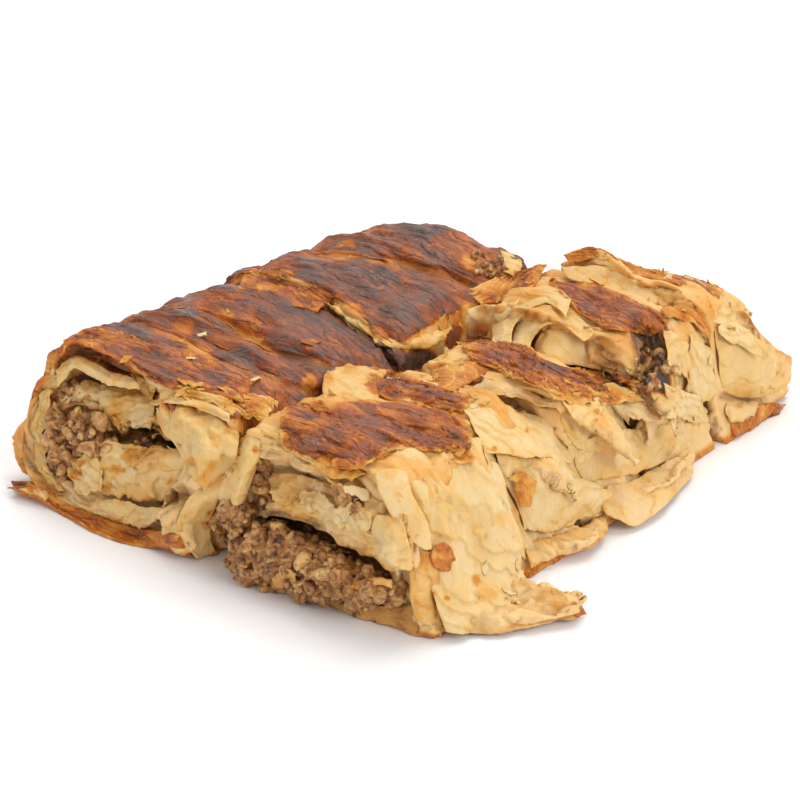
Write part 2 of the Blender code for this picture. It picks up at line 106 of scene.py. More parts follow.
def creases(points, size, seed=0):
    """Noise folded at zero: 1 on thin crease lines, falling to 0 between them."""
    return 1 - np.minimum(np.abs(bumps(points, size, seed)) * CREASE_STEEPNESS, 1.0)


def smooth_step(value, low=0.0, high=1.0):
    """0 below low, 1 above high, and an even slope without corners between them."""
    t = np.clip((value - low) / (high - low), 0.0, 1.0)
    return t * t * (3 - 2 * t)


def mix(a, b, t):
    """a where t is 0, b where t is 1."""
    return a + (b - a) * t


# %% [markdown]
# A mesh is kept as plain arrays until it is finished: points, four-sided faces, and values on the points. Two
# values steer the colour later: `bake`, from raw cream at 0 to burnt crust at 1, and a second one, how much meat
# juice has soaked in, which also carries painted shade into seams, dents and hollows.

# %% Which way faces look
TINY = 1e-12


def face_slopes(points, quads):
    """A vector square to each face, as long as twice its area."""
    a, b, c, d = (points[quads[:, k]] for k in range(4))
    return np.cross(c - a, d - b)


def point_normals(points, quads):
    """The mean direction of the faces round each point."""
    slopes = face_slopes(points, quads)
    normals = np.zeros_like(points)
    for k in range(4):
        np.add.at(normals, quads[:, k], slopes)
    return normals / (np.linalg.norm(normals, axis=1)[:, None] + TINY)


# %% From arrays to a piece
def mesh_from(name, points, quads, values):
    """A mesh of slab points and quads, with the values as attributes on its points."""
    data = bpy.data.meshes.new(name)
    data.from_pydata(in_scene(points).tolist(), [], quads.tolist())
    for key, value in values.items():
        data.attributes.new(key, "FLOAT", "POINT").data.foreach_set("value", np.asarray(value, np.float32))
    return data


def piece_of(name, data, material, stands_for=()):
    """A finished piece made of a mesh: smooth shaded, riding on the pie, in place of the solids it stands for."""
    data.materials.clear()
    data.materials.append(material)
    data.shade_smooth()
    made = bpy.data.objects.new(name, data)
    bpy.context.scene.collection.objects.link(made)
    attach(made, "root")
    if stands_for:
        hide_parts(*stands_for)
    return made


def piece_from(name, points, quads, values, material, stands_for=()):
    """A finished piece made of slab points and quads."""
    return piece_of(name, mesh_from(name, points, quads, values), material, stands_for)


def joined(parts):
    """Several (points, quads, values) meshes as one."""
    start = np.cumsum([0] + [len(part[0]) for part in parts[:-1]])
    points = np.concatenate([part[0] for part in parts])
    quads = np.concatenate([part[1] + s for part, s in zip(parts, start)])
    values = {key: np.concatenate([part[2][key] for part in parts]) for key in parts[0][2]}
    return points, quads, values


# %% [markdown]
# ## Camera, floor and light
#
# The photograph looks down on the slab's front right corner from some distance, so the lens is long. The camera's
# place follows from three things read from the picture: how far it has turned, how steeply it looks down, and
# where the front corner of the base lands. The light is that of a white studio table, strongest from the right,
# because the right-hand sides of the dough are the brightest. Suns light the whole table evenly, and a wide angle
# makes their shadows soft.

# %% Camera
CAMERA_TURN = math.radians(37.5)
CAMERA_DOWN = math.radians(25.0)
CAMERA_PLACE = np.array([392.19, -376.72, 273.67])
LENS = 117.0
SENSOR = 36.0
PICTURE = 800

camera_data = bpy.data.cameras.new("camera")
camera_data.lens = LENS
camera_data.sensor_width = SENSOR
camera = bpy.data.objects.new("camera", camera_data)
camera.location = in_scene(CAMERA_PLACE)
camera.rotation_euler = (math.pi / 2 - CAMERA_DOWN, 0.0, CAMERA_TURN)
bpy.context.scene.collection.objects.link(camera)
bpy.context.scene.camera = camera
print("the camera stands", round(float(np.linalg.norm(CAMERA_PLACE - SLAB_MIDDLE))), "mm from the slab's middle")


# %% Floor and lights
FLOOR_SIZE = 6.0
FLOOR_COLOUR = (0.92, 0.92, 0.92)
FLOOR_ROUGHNESS = 0.8
LIGHT_ALL_ROUND = 0.74


def plain_material(name, colour, roughness):
    """A material that is the same all over."""
    made = bpy.data.materials.new(name)
    made.use_nodes = True
    shader = made.node_tree.nodes["Principled BSDF"]
    shader.inputs["Base Color"].default_value = (*colour, 1.0)
    shader.inputs["Roughness"].default_value = roughness
    return made


def soft_sun(name, comes_from, strength, spread):
    """A sun whose light comes from a direction given in slab axes; spread is in degrees."""
    data = bpy.data.lights.new(name, "SUN")
    data.energy = strength
    data.angle = math.radians(spread)
    light = bpy.data.objects.new(name, data)
    light.rotation_euler = Vector(comes_from).to_track_quat("Z", "Y").to_euler()
    bpy.context.scene.collection.objects.link(light)


floor_mesh = bmesh.new()
bmesh.ops.create_grid(floor_mesh, x_segments=1, y_segments=1, size=FLOOR_SIZE / 2)
floor_data = bpy.data.meshes.new("floor")
floor_mesh.to_mesh(floor_data)
floor_mesh.free()
floor_data.materials.append(plain_material("table", FLOOR_COLOUR, FLOOR_ROUGHNESS))
floor = bpy.data.objects.new("floor", floor_data)
bpy.context.scene.collection.objects.link(floor)

world = bpy.data.worlds.new("studio")
world.use_nodes = True
world.node_tree.nodes["Background"].inputs["Color"].default_value = (1.0, 1.0, 1.0, 1.0)
world.node_tree.nodes["Background"].inputs["Strength"].default_value = LIGHT_ALL_ROUND
bpy.context.scene.world = world
bpy.context.scene.view_settings.view_transform = "Standard"

soft_sun("key", comes_from=(0.85, -0.15, 0.60), strength=1.05, spread=25)
soft_sun("overhead", comes_from=(-0.15, 0.40, 0.90), strength=1.45, spread=45)

# %% [markdown]
# ## Materials
#
# Dough and crust are one material, because the one turns into the other as it browns. The `bake` value goes
# through a colour ramp: cream, gold, orange, red-brown, nearly black. Noise is added to it first, so that no edge
# between two tones is clean. Pale dough lets light in under its skin, and crust is glossy with fat.

# %% Nodes and their sockets
def add_node(tree, kind, **settings):
    """A new node with its settings."""
    made = tree.nodes.new(kind)
    for key, value in settings.items():
        setattr(made, key, value)
    return made


def feed(tree, value, socket):
    """Gives a socket a number, a colour or another node's output."""
    if isinstance(value, tuple):
        socket.default_value = (*value, 1.0)
    elif isinstance(value, (int, float)):
        socket.default_value = value
    else:
        tree.links.new(value, socket)


def point_value(tree, name):
    """A value that lies on the mesh's points, or 0 where the mesh has none of that name."""
    return add_node(tree, "ShaderNodeAttribute", attribute_name=name).outputs["Fac"]


# %% Sums on sockets
def maths(tree, kind, first, second):
    """Two numbers or sockets put through one operation."""
    made = add_node(tree, "ShaderNodeMath", operation=kind)
    feed(tree, first, made.inputs[0])
    feed(tree, second, made.inputs[1])
    return made.outputs[0]


def added(tree, first, *others):
    """The sum of some sockets."""
    for other in others:
        first = maths(tree, "ADD", first, other)
    return first


def times(tree, first, second):
    """The product of two numbers or sockets."""
    return maths(tree, "MULTIPLY", first, second)


def swing(tree, noise, width):
    """Noise made to swing round zero, width wide."""
    return times(tree, maths(tree, "SUBTRACT", noise, 0.5), width)


def ranged(tree, value, low, high, to_low=0.0, to_high=1.0):
    """A socket's value carried from one range to another, held at the ends."""
    made = add_node(tree, "ShaderNodeMapRange")
    feed(tree, value, made.inputs["Value"])
    for socket, number in zip(("From Min", "From Max", "To Min", "To Max"), (low, high, to_low, to_high)):
        made.inputs[socket].default_value = number
    return made.outputs["Result"]


# %% Noise, colour and relief
def noise_value(tree, bump_size, stretch=(1.0, 1.0, 1.0), detail=4.0, roughness=0.6, distortion=0.0):
    """Noise on Object coordinates, with bumps of about bump_size millimetres, longer along a stretched axis."""
    place = add_node(tree, "ShaderNodeTexCoord")
    mapping = add_node(tree, "ShaderNodeMapping")
    mapping.inputs["Scale"].default_value = [1.0 / s for s in stretch]
    made = add_node(tree, "ShaderNodeTexNoise")
    made.inputs["Scale"].default_value = 1.0 / (bump_size * MM)
    made.inputs["Detail"].default_value = detail
    made.inputs["Roughness"].default_value = roughness
    made.inputs["Distortion"].default_value = distortion
    feed(tree, place.outputs["Object"], mapping.inputs["Vector"])
    feed(tree, mapping.outputs["Vector"], made.inputs["Vector"])
    return made.outputs["Fac"]


def colour_ramp(tree, factor, stops):
    """A colour looked up between (place, colour) stops."""
    made = add_node(tree, "ShaderNodeValToRGB")
    elements = made.color_ramp.elements
    while len(elements) < len(stops):
        elements.new(0.5)
    for element, (place, colour) in zip(elements, stops):
        element.position = place
        element.color = (*colour, 1.0)
    feed(tree, factor, made.inputs["Fac"])
    return made.outputs["Color"]


def blended(tree, factor, first, second):
    """Two colours mixed by a factor. The node's sockets for colours come after those for numbers and vectors."""
    made = add_node(tree, "ShaderNodeMix", data_type="RGBA")
    for index, value in ((0, factor), (6, first), (7, second)):
        feed(tree, value, made.inputs[index])
    return made.outputs[2]


def bump(tree, height, depth, normal=None, strength=1.0):
    """Bends the shading by a height socket; depth is in millimetres."""
    made = add_node(tree, "ShaderNodeBump")
    made.inputs["Distance"].default_value = depth * MM
    feed(tree, strength, made.inputs["Strength"])
    feed(tree, height, made.inputs["Height"])
    if normal is not None:
        feed(tree, normal, made.inputs["Normal"])
    return made.outputs["Normal"]


# %% The tones of baking
CREAM = (0.80, 0.565, 0.285)
BUTTER = (0.77, 0.465, 0.155)
GOLD = (0.71, 0.315, 0.048)
ORANGE = (0.55, 0.160, 0.015)
CHESTNUT = (0.31, 0.076, 0.017)
UMBER = (0.165, 0.080, 0.056)
CHARRED = (0.070, 0.042, 0.032)
DAMP = (0.62, 0.345, 0.135)
MEAT_JUICE_AND_SHADE = (0.36, 0.185, 0.075)
BAKING = [
    (0.0, CREAM), (0.17, BUTTER), (0.33, GOLD), (0.47, ORANGE), (0.62, CHESTNUT), (0.77, UMBER), (1.0, CHARRED),
]


# %% Dough and crust
def thin_lines(tree, value, width):
    """1 where a noise value crosses its middle, so along thin wandering lines, and 0 between them."""
    away = maths(tree, "ABSOLUTE", maths(tree, "SUBTRACT", value, 0.5), 0.0)
    return ranged(tree, away, 0.0, width, 1.0, 0.0)


def new_material(name):
    """A new material, its node tree and its shader."""
    made = bpy.data.materials.new(name)
    made.use_nodes = True
    return made, made.node_tree, made.node_tree.nodes["Principled BSDF"]


def phyllo_material():
    """Dough where bake is low, crust where it is high."""
    made, tree, shader = new_material("phyllo")
    bake = added(tree, point_value(tree, "bake"), point_value(tree, "tone"))
    clouds = noise_value(tree, 6.0, detail=5.0)
    blotches = noise_value(tree, 2.6, stretch=(1.6, 1.0, 1.0), detail=3.0, distortion=0.8)
    fibres = noise_value(tree, 1.3, stretch=(5.0, 1.0, 1.6), detail=5.0, roughness=0.65)
    crinkles = noise_value(tree, 3.0, stretch=(2.2, 1.0, 1.4), detail=4.0, distortion=1.2)
    wrinkles = thin_lines(tree, noise_value(tree, 3.4, stretch=(6.0, 1.0, 2.0), detail=3.0, distortion=0.6), 0.05)
    hairlines = thin_lines(tree, crinkles, 0.035)
    freckles = noise_value(tree, 1.9, detail=2.0, distortion=0.6)
    grain = noise_value(tree, 0.5, detail=3.0)
    crusted = ranged(tree, bake, 0.35, 0.55)
    sway = added(tree, swing(tree, clouds, 0.62), swing(tree, blotches, 0.42), swing(tree, fibres, 0.28))
    # Browned dough varies more than raw dough does.
    sway = times(tree, sway, ranged(tree, bake, 0.08, 0.55, 0.32, 0.85))
    # The fire scorches the crests of wrinkles first, and on pale dough it leaves golden freckles.
    sway = added(tree, sway, times(tree, times(tree, wrinkles, crusted), 0.10))
    spots = times(tree, ranged(tree, freckles, 0.62, 0.72), ranged(tree, clouds, 0.50, 0.64, 0.0, 0.26))
    spots = times(tree, spots, ranged(tree, bake, 0.30, 0.50, 1.0, 0.0))
    browned = colour_ramp(tree, added(tree, bake, sway, spots), BAKING)
    # Thin dough is uneven: where it is damp or doubled, it looks darker and less yellow.
    damp = added(tree, times(tree, ranged(tree, crinkles, 0.52, 0.74), 0.50), times(tree, hairlines, 0.12))
    damp = times(tree, damp, ranged(tree, bake, 0.1, 0.4, 0.8, 0.0))
    browned = blended(tree, damp, browned, DAMP)
    # Meat juice soaks the dough near the mince, and the same tone is painted shade in the seams, dents and hollows
    # of the dough.
    soaked_and_shaded = times(tree, point_value(tree, "stain"), ranged(tree, clouds, 0.35, 0.6))
    feed(tree, blended(tree, soaked_and_shaded, browned, MEAT_JUICE_AND_SHADE), shader.inputs["Base Color"])
    roughness = added(tree, ranged(tree, bake, 0.2, 0.6, 0.50, 0.34), ranged(tree, blotches, 0.3, 0.7, -0.10, 0.16))
    feed(tree, roughness, shader.inputs["Roughness"])
    shader.inputs["Specular IOR Level"].default_value = 0.38
    # Butter leaves a smooth sheen on the crust, over its wrinkles.
    feed(tree, ranged(tree, bake, 0.42, 0.66, 0.0, 0.20), shader.inputs["Coat Weight"])
    shader.inputs["Coat Roughness"].default_value = 0.32
    shader.inputs["Subsurface Weight"].default_value = 0.30
    shader.inputs["Subsurface Radius"].default_value = (1.0, 0.45, 0.15)
    shader.inputs["Subsurface Scale"].default_value = 1.8 * MM
    # Crust is wrinkled all over; dough is soft and smooth between its folds.
    wrinkled = ranged(tree, bake, 0.25, 0.50, 0.30, 1.0)
    relief = None
    for height, depth in ((crinkles, 1.1), (fibres, 0.6), (wrinkles, 0.30), (grain, 0.12)):
        relief = bump(tree, height, depth, relief, wrinkled)
    feed(tree, relief, shader.inputs["Normal"])
    return made


# %% [markdown]
# Cooked mince is brown meat with paler fat and darker seared bits, moist all over. Each crumb has its own tone, so
# the main noise has bumps of about a crumb's size, and a finer one draws the strands of the meat.

# %% Mince
SEARED = (0.080, 0.032, 0.012)
MEAT = (0.40, 0.160, 0.042)
FATTY = (0.76, 0.46, 0.165)


def mince_material():
    """Cooked mince, brown with pale and dark crumbs."""
    made, tree, shader = new_material("mince")
    by_crumb = noise_value(tree, 2.6, detail=1.0, distortion=1.5)
    strands = noise_value(tree, 0.8, stretch=(1.0, 1.8, 1.0), detail=6.0, roughness=0.7, distortion=0.8)
    clouds = noise_value(tree, 6.0, detail=3.0)
    tone = added(tree, times(tree, by_crumb, 0.85), times(tree, strands, 0.35), times(tree, clouds, 0.25))
    tone = added(tree, tone, point_value(tree, "tone"))
    feed(tree, colour_ramp(tree, tone, [(0.50, SEARED), (0.68, MEAT), (0.94, FATTY)]), shader.inputs["Base Color"])
    shader.inputs["Roughness"].default_value = 0.34
    shader.inputs["Subsurface Weight"].default_value = 0.10
    shader.inputs["Subsurface Radius"].default_value = (1.0, 0.45, 0.25)
    shader.inputs["Subsurface Scale"].default_value = 0.8 * MM
    feed(tree, bump(tree, strands, 0.5), shader.inputs["Normal"])
    return made


phyllo = phyllo_material()
mince = mince_material()
print("dough has", len(phyllo.node_tree.nodes), "nodes and mince", len(mince.node_tree.nodes))

# %% [markdown]
# ## Sight lines
#
# Many folds of the dough are known only from the photograph: where in the picture they are, and that they lie on
# the pie. So a fold is placed by points in the picture. A ray goes from the camera through each point, and it stops
# at the dough, or where it crosses a plane of the slab. How far along the ray the fold lies is its reach, and a
# lift of some millimetres brings it out towards the eye.

# %% Rays through the picture
FOCAL = PICTURE * LENS / SENSOR
MIDDLE = PICTURE / 2
TO_RIGHT = np.array([math.cos(CAMERA_TURN), math.sin(CAMERA_TURN), 0.0])
AHEAD = np.array([
    -math.sin(CAMERA_TURN) * math.cos(CAMERA_DOWN),
    math.cos(CAMERA_TURN) * math.cos(CAMERA_DOWN),
    -math.sin(CAMERA_DOWN),
])
UPWARD = np.cross(TO_RIGHT, AHEAD)
NO_LENGTH = 1e-9


def rays(picture):
    """One ray for each picture point, one millimetre long in the direction straight ahead."""
    picture = np.atleast_2d(picture).astype(float)
    across = (picture[:, 0] - MIDDLE) / FOCAL
    down = (picture[:, 1] - MIDDLE) / FOCAL
    return AHEAD + np.outer(across, TO_RIGHT) - np.outer(down, UPWARD)


def in_picture(points):
    """Where slab points land in the picture."""
    away = np.asarray(points) - CAMERA_PLACE
    reach = away @ AHEAD
    return np.stack([MIDDLE + FOCAL * (away @ TO_RIGHT) / reach, MIDDLE - FOCAL * (away @ UPWARD) / reach], axis=1)


def from_stroke(picture, stroke):
    """How many picture points each place is from a line drawn through the stroke's points."""
    nearest = np.full(len(picture), np.inf)
    stroke = np.asarray(stroke, float)
    for a, b in zip(stroke[:-1], stroke[1:]):
        along = np.clip(((picture - a) @ (b - a)) / ((b - a) @ (b - a) + NO_LENGTH), 0, 1)
        nearest = np.minimum(nearest, np.hypot(*(picture - a - np.outer(along, b - a)).T))
    return nearest


# %% [markdown]
# ## The bodies of dough
#
# Each piece of the pie is one solid in the frame. Its body here is grown from that solid: a copy is covered with an
# even skin of small faces, by a voxel remesh, and its corners are softened. That keeps the place and the size
# exact and gives enough points to press the real relief into: the edges of dozens of thin sheets at a cut, and long
# soft folds where the knife has dragged the dough down.

# %% A dense skin over a solid
SAME_PLACE = 0.00001
SOFTENING_STEP = 0.5


def merged_copy(data):
    """A copy of a mesh whose doubled points are one."""
    copy = data.copy()
    work = bmesh.new()
    work.from_mesh(copy)
    bmesh.ops.remove_doubles(work, verts=work.verts, dist=SAME_PLACE)
    work.to_mesh(copy)
    work.free()
    return copy


def dense_skin(data, voxel, softening):
    """Points and quads of a mesh covered with an even skin and softened, in slab millimetres."""
    copy = bpy.data.objects.new("skin", data)
    bpy.context.scene.collection.objects.link(copy)
    skin = copy.modifiers.new("skin", "REMESH")
    skin.mode = "VOXEL"
    skin.voxel_size = voxel * MM
    soften = copy.modifiers.new("soften", "SMOOTH")
    soften.factor = SOFTENING_STEP
    soften.iterations = softening
    bpy.context.view_layer.update()
    made = bpy.data.meshes.new_from_object(copy.evaluated_get(bpy.context.evaluated_depsgraph_get()))
    points = np.empty(3 * len(made.vertices))
    made.vertices.foreach_get("co", points)
    corners = np.empty(len(made.loops), int)
    made.loops.foreach_get("vertex_index", corners)
    assert len(corners) == 4 * len(made.polygons), "every face of the skin has four corners"
    bpy.data.objects.remove(copy)
    return in_slab(points.reshape(-1, 3)), corners.reshape(-1, 4)


# %% [markdown]
# The cut faces show the sheets edge-on, lying round the filling like the skins of an onion. So the depth of each
# sheet is looked up by its number: how far a point lies from the filling's flat oval, bent by noise, divided by the
# thickness of a sheet. Each number has its own depth, and a sunken seam lies between two numbers, darkened further
# with painted shade.

# %% Layers at the cuts
FILLINGS = {
    "left_front": dict(x=24.5, z=19.5, half_width=20.5, half_height=5.6),
    "left_back": dict(x=29.0, z=18.5, half_width=22.0, half_height=5.0),
    "right_1": dict(x=82.5, z=10.4, half_width=20.0, half_height=6.6),
    "right_2": dict(x=83.0, z=13.0, half_width=18.0, half_height=4.6),
    "right_3": dict(x=84.0, z=12.5, half_width=17.0, half_height=4.6),
    "right_4": dict(x=95.0, z=18.5, half_width=12.0, half_height=7.0),
    "right_5": dict(x=84.5, z=14.5, half_width=14.5, half_height=4.8),
}
SHEET_THICKNESS = 2.0
SHEET_DEPTH = 1.7
SEAM_DEPTH = 1.0
APART_BY_NUMBER = 41.7


def from_filling(points, filling):
    """How far a point's (x, z) lies outside the filling's flat oval."""
    beyond_x = np.abs(points[:, 0] - filling["x"]) - (filling["half_width"] - filling["half_height"])
    beyond_z = np.abs(points[:, 2] - filling["z"])
    return np.hypot(np.maximum(beyond_x, 0.0), beyond_z) - filling["half_height"]


def layer_relief(points, filling, seed):
    """How far each point of a cut face stands out, and 1 in the seams between the sheets."""
    warp = 3.2 * bumps(points, (13, 13, 8), seed) + 1.4 * bumps(points, (5, 5, 3.2), seed + 1)
    count = (from_filling(points, filling) + warp) / SHEET_THICKNESS
    number = np.floor(count)
    across = count - number
    along = np.stack([points[:, 0] + 0.6 * points[:, 2], number * APART_BY_NUMBER, points[:, 1] * 0.2], axis=1)
    depth = bumps(along, (9, 1, 9), seed + 2) + 0.6 * bumps(along, (3.5, 1, 3.5), seed + 3)
    seam = (1 - 4 * across * (1 - across)) ** 4
    return SHEET_DEPTH * depth - SEAM_DEPTH * seam, seam


# %% [markdown]
# Valleys between the chopped ridges, and the dark holes between folds, are pressed in by strokes over the picture:
# a line of picture points, how wide it is in the picture, and how many millimetres deep.

# %% Strokes that press the dough in
DEEP_DENT = 2.0
PRESSED = {
    "left_front": [
        ([(133, 323), (165, 333), (200, 348), (240, 366), (290, 386), (325, 396)], 4.5, 2.2),
        ([(196, 311), (226, 324), (252, 340), (276, 352), (326, 364)], 4.5, 2.8),
        ([(262, 276), (296, 291), (322, 304), (345, 322), (385, 340), (415, 358)], 4.0, 2.2),
        ([(60, 366), (72, 351), (90, 351), (112, 360), (128, 367)], 6.0, 4.0),
        ([(108, 436), (130, 437), (150, 436), (168, 436), (188, 450)], 9.0, 8.0),
        ([(168, 498), (184, 496)], 8.0, 8.0),
        ([(118, 383), (146, 394)], 3.0, 1.8),
    ],
    "left_back": [
        ([(306, 254), (345, 257), (380, 259), (415, 266), (446, 273), (466, 283)], 4.0, 2.4),
        ([(330, 310), (352, 322), (390, 345), (420, 352)], 3.5, 2.0),
    ],
    "right_1": [
        ([(268, 470), (292, 470), (316, 480)], 3.0, 2.0),
    ],
    "right_2": [
        ([(572, 460), (577, 472)], 7.0, 7.0),
    ],
    "right_3": [
        ([(480, 384), (520, 392), (548, 402)], 5.0, 2.5),
        ([(566, 420), (596, 452)], 5.0, 2.5),
        ([(530, 545), (566, 532), (600, 520)], 3.5, 2.5),
    ],
    "right_4": [
        ([(457, 333), (466, 332)], 5.5, 4.0),
        ([(648, 334), (652, 352), (650, 378)], 16.0, 10.0),
        ([(630, 486), (660, 470), (684, 452)], 3.5, 2.0),
    ],
    "right_5": [
        ([(610, 284), (632, 290)], 3.5, 2.0),
        ([(706, 330), (712, 392)], 4.0, 2.5),
        ([(722, 396), (760, 400)], 4.0, 2.5),
    ],
}


def pressed_in(points, picture, facing, strokes):
    """Points pushed away from the eye along each stroke, and how deep, from 0 to 1 at DEEP_DENT and more."""
    push = np.zeros(len(points))
    for stroke, width, depth in strokes:
        push = np.maximum(push, depth * np.exp(-((from_stroke(picture, stroke) / width) ** 2)))
    return points + np.outer(push * facing, AHEAD), np.minimum(push, DEEP_DENT) * facing / DEEP_DENT


# %% [markdown]
# Some tips of crust and dough stand out from the left side and over the top, and they are made later as single
# sheets. There the body under them has to stay behind its own outline, or it would show beside them. The outline
# runs through picture points, and what lies outside it is moved back in, across the picture.

# %% Outlines that bodies keep within
OUTLINES = {
    "left_front": dict(
        x=(50, 40, 31, 27, 24, 22, 24, 28, 36),
        y=(350, 370, 396, 415, 431, 447, 462, 475, 487),
        side="left", farthest=60),
    "right_5": dict(
        x=(556, 568, 592, 618, 640, 690, 718, 735, 745, 755, 773, 790),
        y=(262, 252, 245, 259, 267, 277, 286, 296, 304, 328, 345, 359),
        side="top", farthest=30),
}
FAR_OUT = -999


def kept_within(points, picture, outline):
    """Points moved right or down in the picture until they lie inside an outline at their left or top."""
    if outline["side"] == "left":
        outside = np.interp(picture[:, 1], outline["y"], outline["x"], FAR_OUT, FAR_OUT) - picture[:, 0]
        inwards = TO_RIGHT
    else:
        outside = np.interp(picture[:, 0], outline["x"], outline["y"], FAR_OUT, FAR_OUT) - picture[:, 1]
        inwards = -UPWARD
    reach = (points - CAMERA_PLACE) @ AHEAD
    return points + np.outer(np.clip(outside, 0, outline["farthest"]) * reach / FOCAL, inwards)


# %% [markdown]
# The oven browns a pie by a rule: the top most, then the edges of the cuts and the outer side, the cuts least. The
# body follows that rule, with noise. Places that break it are marked on the picture, as strokes or as spots, each
# with its width and the bake it gets. Some dark strokes are painted shade, laid where a gap or a hollow is in
# shadow.

# %% Places that are browned more or less, and painted shade in gaps
BROWNED_AND_SHADED = {
    "left_front": [([(62, 364), (74, 351), (92, 352), (112, 361), (126, 367)], 8.0, 0.56)],
    # Painted shade: these two dark strokes stand for the shadow in the gap at the foot of the wall and in a small
    # hole.
    "left_back": [([(384, 350), (402, 362), (426, 360)], 11.0, 0.84), ([(455, 332), (452, 342)], 8.0, 0.62)],
    # Painted shade: this nearly black stroke stands for the shadow deep in the hollow.
    "right_4": [([(648, 334), (654, 352), (655, 380)], 15.0, 0.92)],
}
SCORCHED = [((383, 280), 15, 0.80), ((360, 262), 10, 0.70), ((422, 237), 13, 0.80), ((405, 300), 12, 0.70),
            ((140, 340), 10, 0.74), ((172, 352), 13, 0.70), ((214, 372), 12, 0.66), ((300, 352), 20, 0.66)]
GOLDEN = [((258, 280), 12, 0.34), ((226, 318), 12, 0.42), ((352, 312), 9, 0.40),
          ((345, 248), 9, 0.42), ((180, 330), 12, 0.44), ((310, 382), 10, 0.40), ((470, 262), 10, 0.38)]


# %% The rule of browning
def baked(name, seed, points, picture, normals, facing, waves, dent, from_skin, kinds):
    """How browned each point of a body is; kinds says how much a point is cut, top, side and under."""
    cut, top, side, under = kinds
    is_left = name.startswith("left")
    crusted = top * smooth_step(points[:, 2], 20, 27)
    outer_side = side * smooth_step(-normals[:, 0], 0.1, 0.6) * smooth_step(18.0 - points[:, 0])
    baked_edge = np.exp(-from_skin / 1.6) * smooth_step(points[:, 2], 18, 30)
    crust_tone = 0.64 + 0.10 * waves + 0.12 * bumps(points, 12, seed + 11) - 0.20 * dent
    ragged = 0.5 * bumps(points, (9, 3, 5), seed + 16) + 0.3 * bumps(points, (3, 1.2, 2), seed + 17)
    for spot, radius, tone in SCORCHED + GOLDEN:
        near = 1 - smooth_step(from_stroke(picture, [spot, spot]) / radius + ragged, 0.5, 1.3)
        crust_tone = mix(crust_tone, tone, near * facing)
    if not is_left:
        # The right column's crust is in sheets of its own, and its bodies stay pale.
        crust_tone = 0.20 + 0.10 * waves
    left_edge = np.exp(-from_skin / 2.6) * smooth_step(14.0 - points[:, 0], 0.0, 6.0) * is_left
    bake = 0.07 + 0.10 * cut * bumps(points, 6, seed + 12) + 0.22 * baked_edge * (1 + bumps(points, 5, seed + 10))
    bake = mix(bake, 0.46 + 0.12 * bumps(points, 7, seed + 18), 0.95 * np.maximum(left_edge * cut, outer_side))
    bake = mix(bake, crust_tone, crusted)
    bake = mix(bake, 0.50, under * smooth_step(8.0 - points[:, 2], 0.0, 4.0))
    # Strokes set the bake where they lie; some brown the dough, and the dark ones on the back pieces are painted
    # shade.
    for stroke, radius, tone in BROWNED_AND_SHADED.get(name, ()):
        bake = mix(bake, tone, 1 - smooth_step(from_stroke(picture, stroke) / radius + 0.5 * ragged, 0.6, 1.2))
    return np.maximum(bake, 0.42 * smooth_step(3.0 - points[:, 2], 0.0, 2.0))


# %% [markdown]
# A point's normal tells what it belongs to: the cut faces look along y, the top looks up, the underside down, and
# the rest is side. Each kind gets its own relief. The cut gets layers, the side soft folds, and the top fibres and
# waves.

# %% The body of a piece
FACE_SIZE = 0.5
FACE_SIZE_OF_LARGEST = 0.56
BODY_SOFTENING = 6


def body_of_dough(name):
    """One piece's body, with layers on its cuts, folds on its sides and wrinkles on top."""
    filling = FILLINGS[name]
    seed = 11 * (1 + list(FILLINGS).index(name))
    # The largest body gets larger faces, so that it stays under 200,000 triangles.
    face_size = FACE_SIZE_OF_LARGEST if name == "left_front" else FACE_SIZE
    points, quads = dense_skin(merged_copy(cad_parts[name + "_pastry"].data), face_size, BODY_SOFTENING)
    normals = point_normals(points, quads)
    cut = smooth_step(np.abs(normals[:, 1]), 0.35, 0.8)
    top = smooth_step(normals[:, 2], 0.2, 0.7)
    under = smooth_step(-normals[:, 2], 0.3, 0.8)
    side = (1 - cut) * (1 - top) * (1 - under)
    layers, seam = layer_relief(points, filling, seed)
    folds = 0.9 * bumps(points, (30, 5.5, 22), seed + 5) + 0.8 * creases(points, (26, 7, 18), seed + 6)
    lumps = 1.3 * bumps(points, 8, seed + 7)
    fibres = 0.8 * creases(points, (18, 2.6, 9), seed + 8) + 0.35 * bumps(points, (9, 1.7, 6), seed + 9)
    fibres += 0.25 * creases(points, (14, 1.6, 6), seed + 14) + 1.0 * bumps(points, (13, 4.5, 9), seed + 15)
    waves = 1.5 * bumps(points, (20, 7, 12), seed + 13)
    skin_tree = BVHTree.FromPolygons(points.tolist(), quads[(1 - cut)[quads[:, 0]] > 0.5].tolist())
    on_cut = np.flatnonzero(cut > 0.3)
    from_skin = np.zeros(len(points))
    from_skin[on_cut] = [skin_tree.find_nearest(Vector(p))[3] for p in points[on_cut]]
    above_floor = smooth_step(points[:, 2], 0.3, 4.0)
    push = (cut * (layers + lumps) + side * (folds - 0.5) + top * (fibres + waves - 0.5)) * above_floor
    points = points + normals * push[:, None]
    facing = smooth_step(-(normals @ AHEAD), 0.0, 0.35)
    picture = in_picture(points)
    if name in OUTLINES:
        points = kept_within(points, picture, OUTLINES[name])
    points, dent = pressed_in(points, picture, facing, PRESSED[name])
    points[:, 2] = np.maximum(points[:, 2], 0.0)
    kinds = (cut, top, side, under)
    bake = baked(name, seed, points, picture, normals, facing, waves, dent, from_skin, kinds)
    near_filling = np.exp(-np.maximum(from_filling(points, filling), 0.0) / 3.0)
    # Meat juice near the filling; in the seams between sheets and in the pressed-in dents the same tone is painted
    # shade.
    stain = cut * near_filling + 0.5 * cut * seam + 0.35 * dent
    return points, quads, {"bake": bake, "stain": np.clip(stain, 0, 1)}


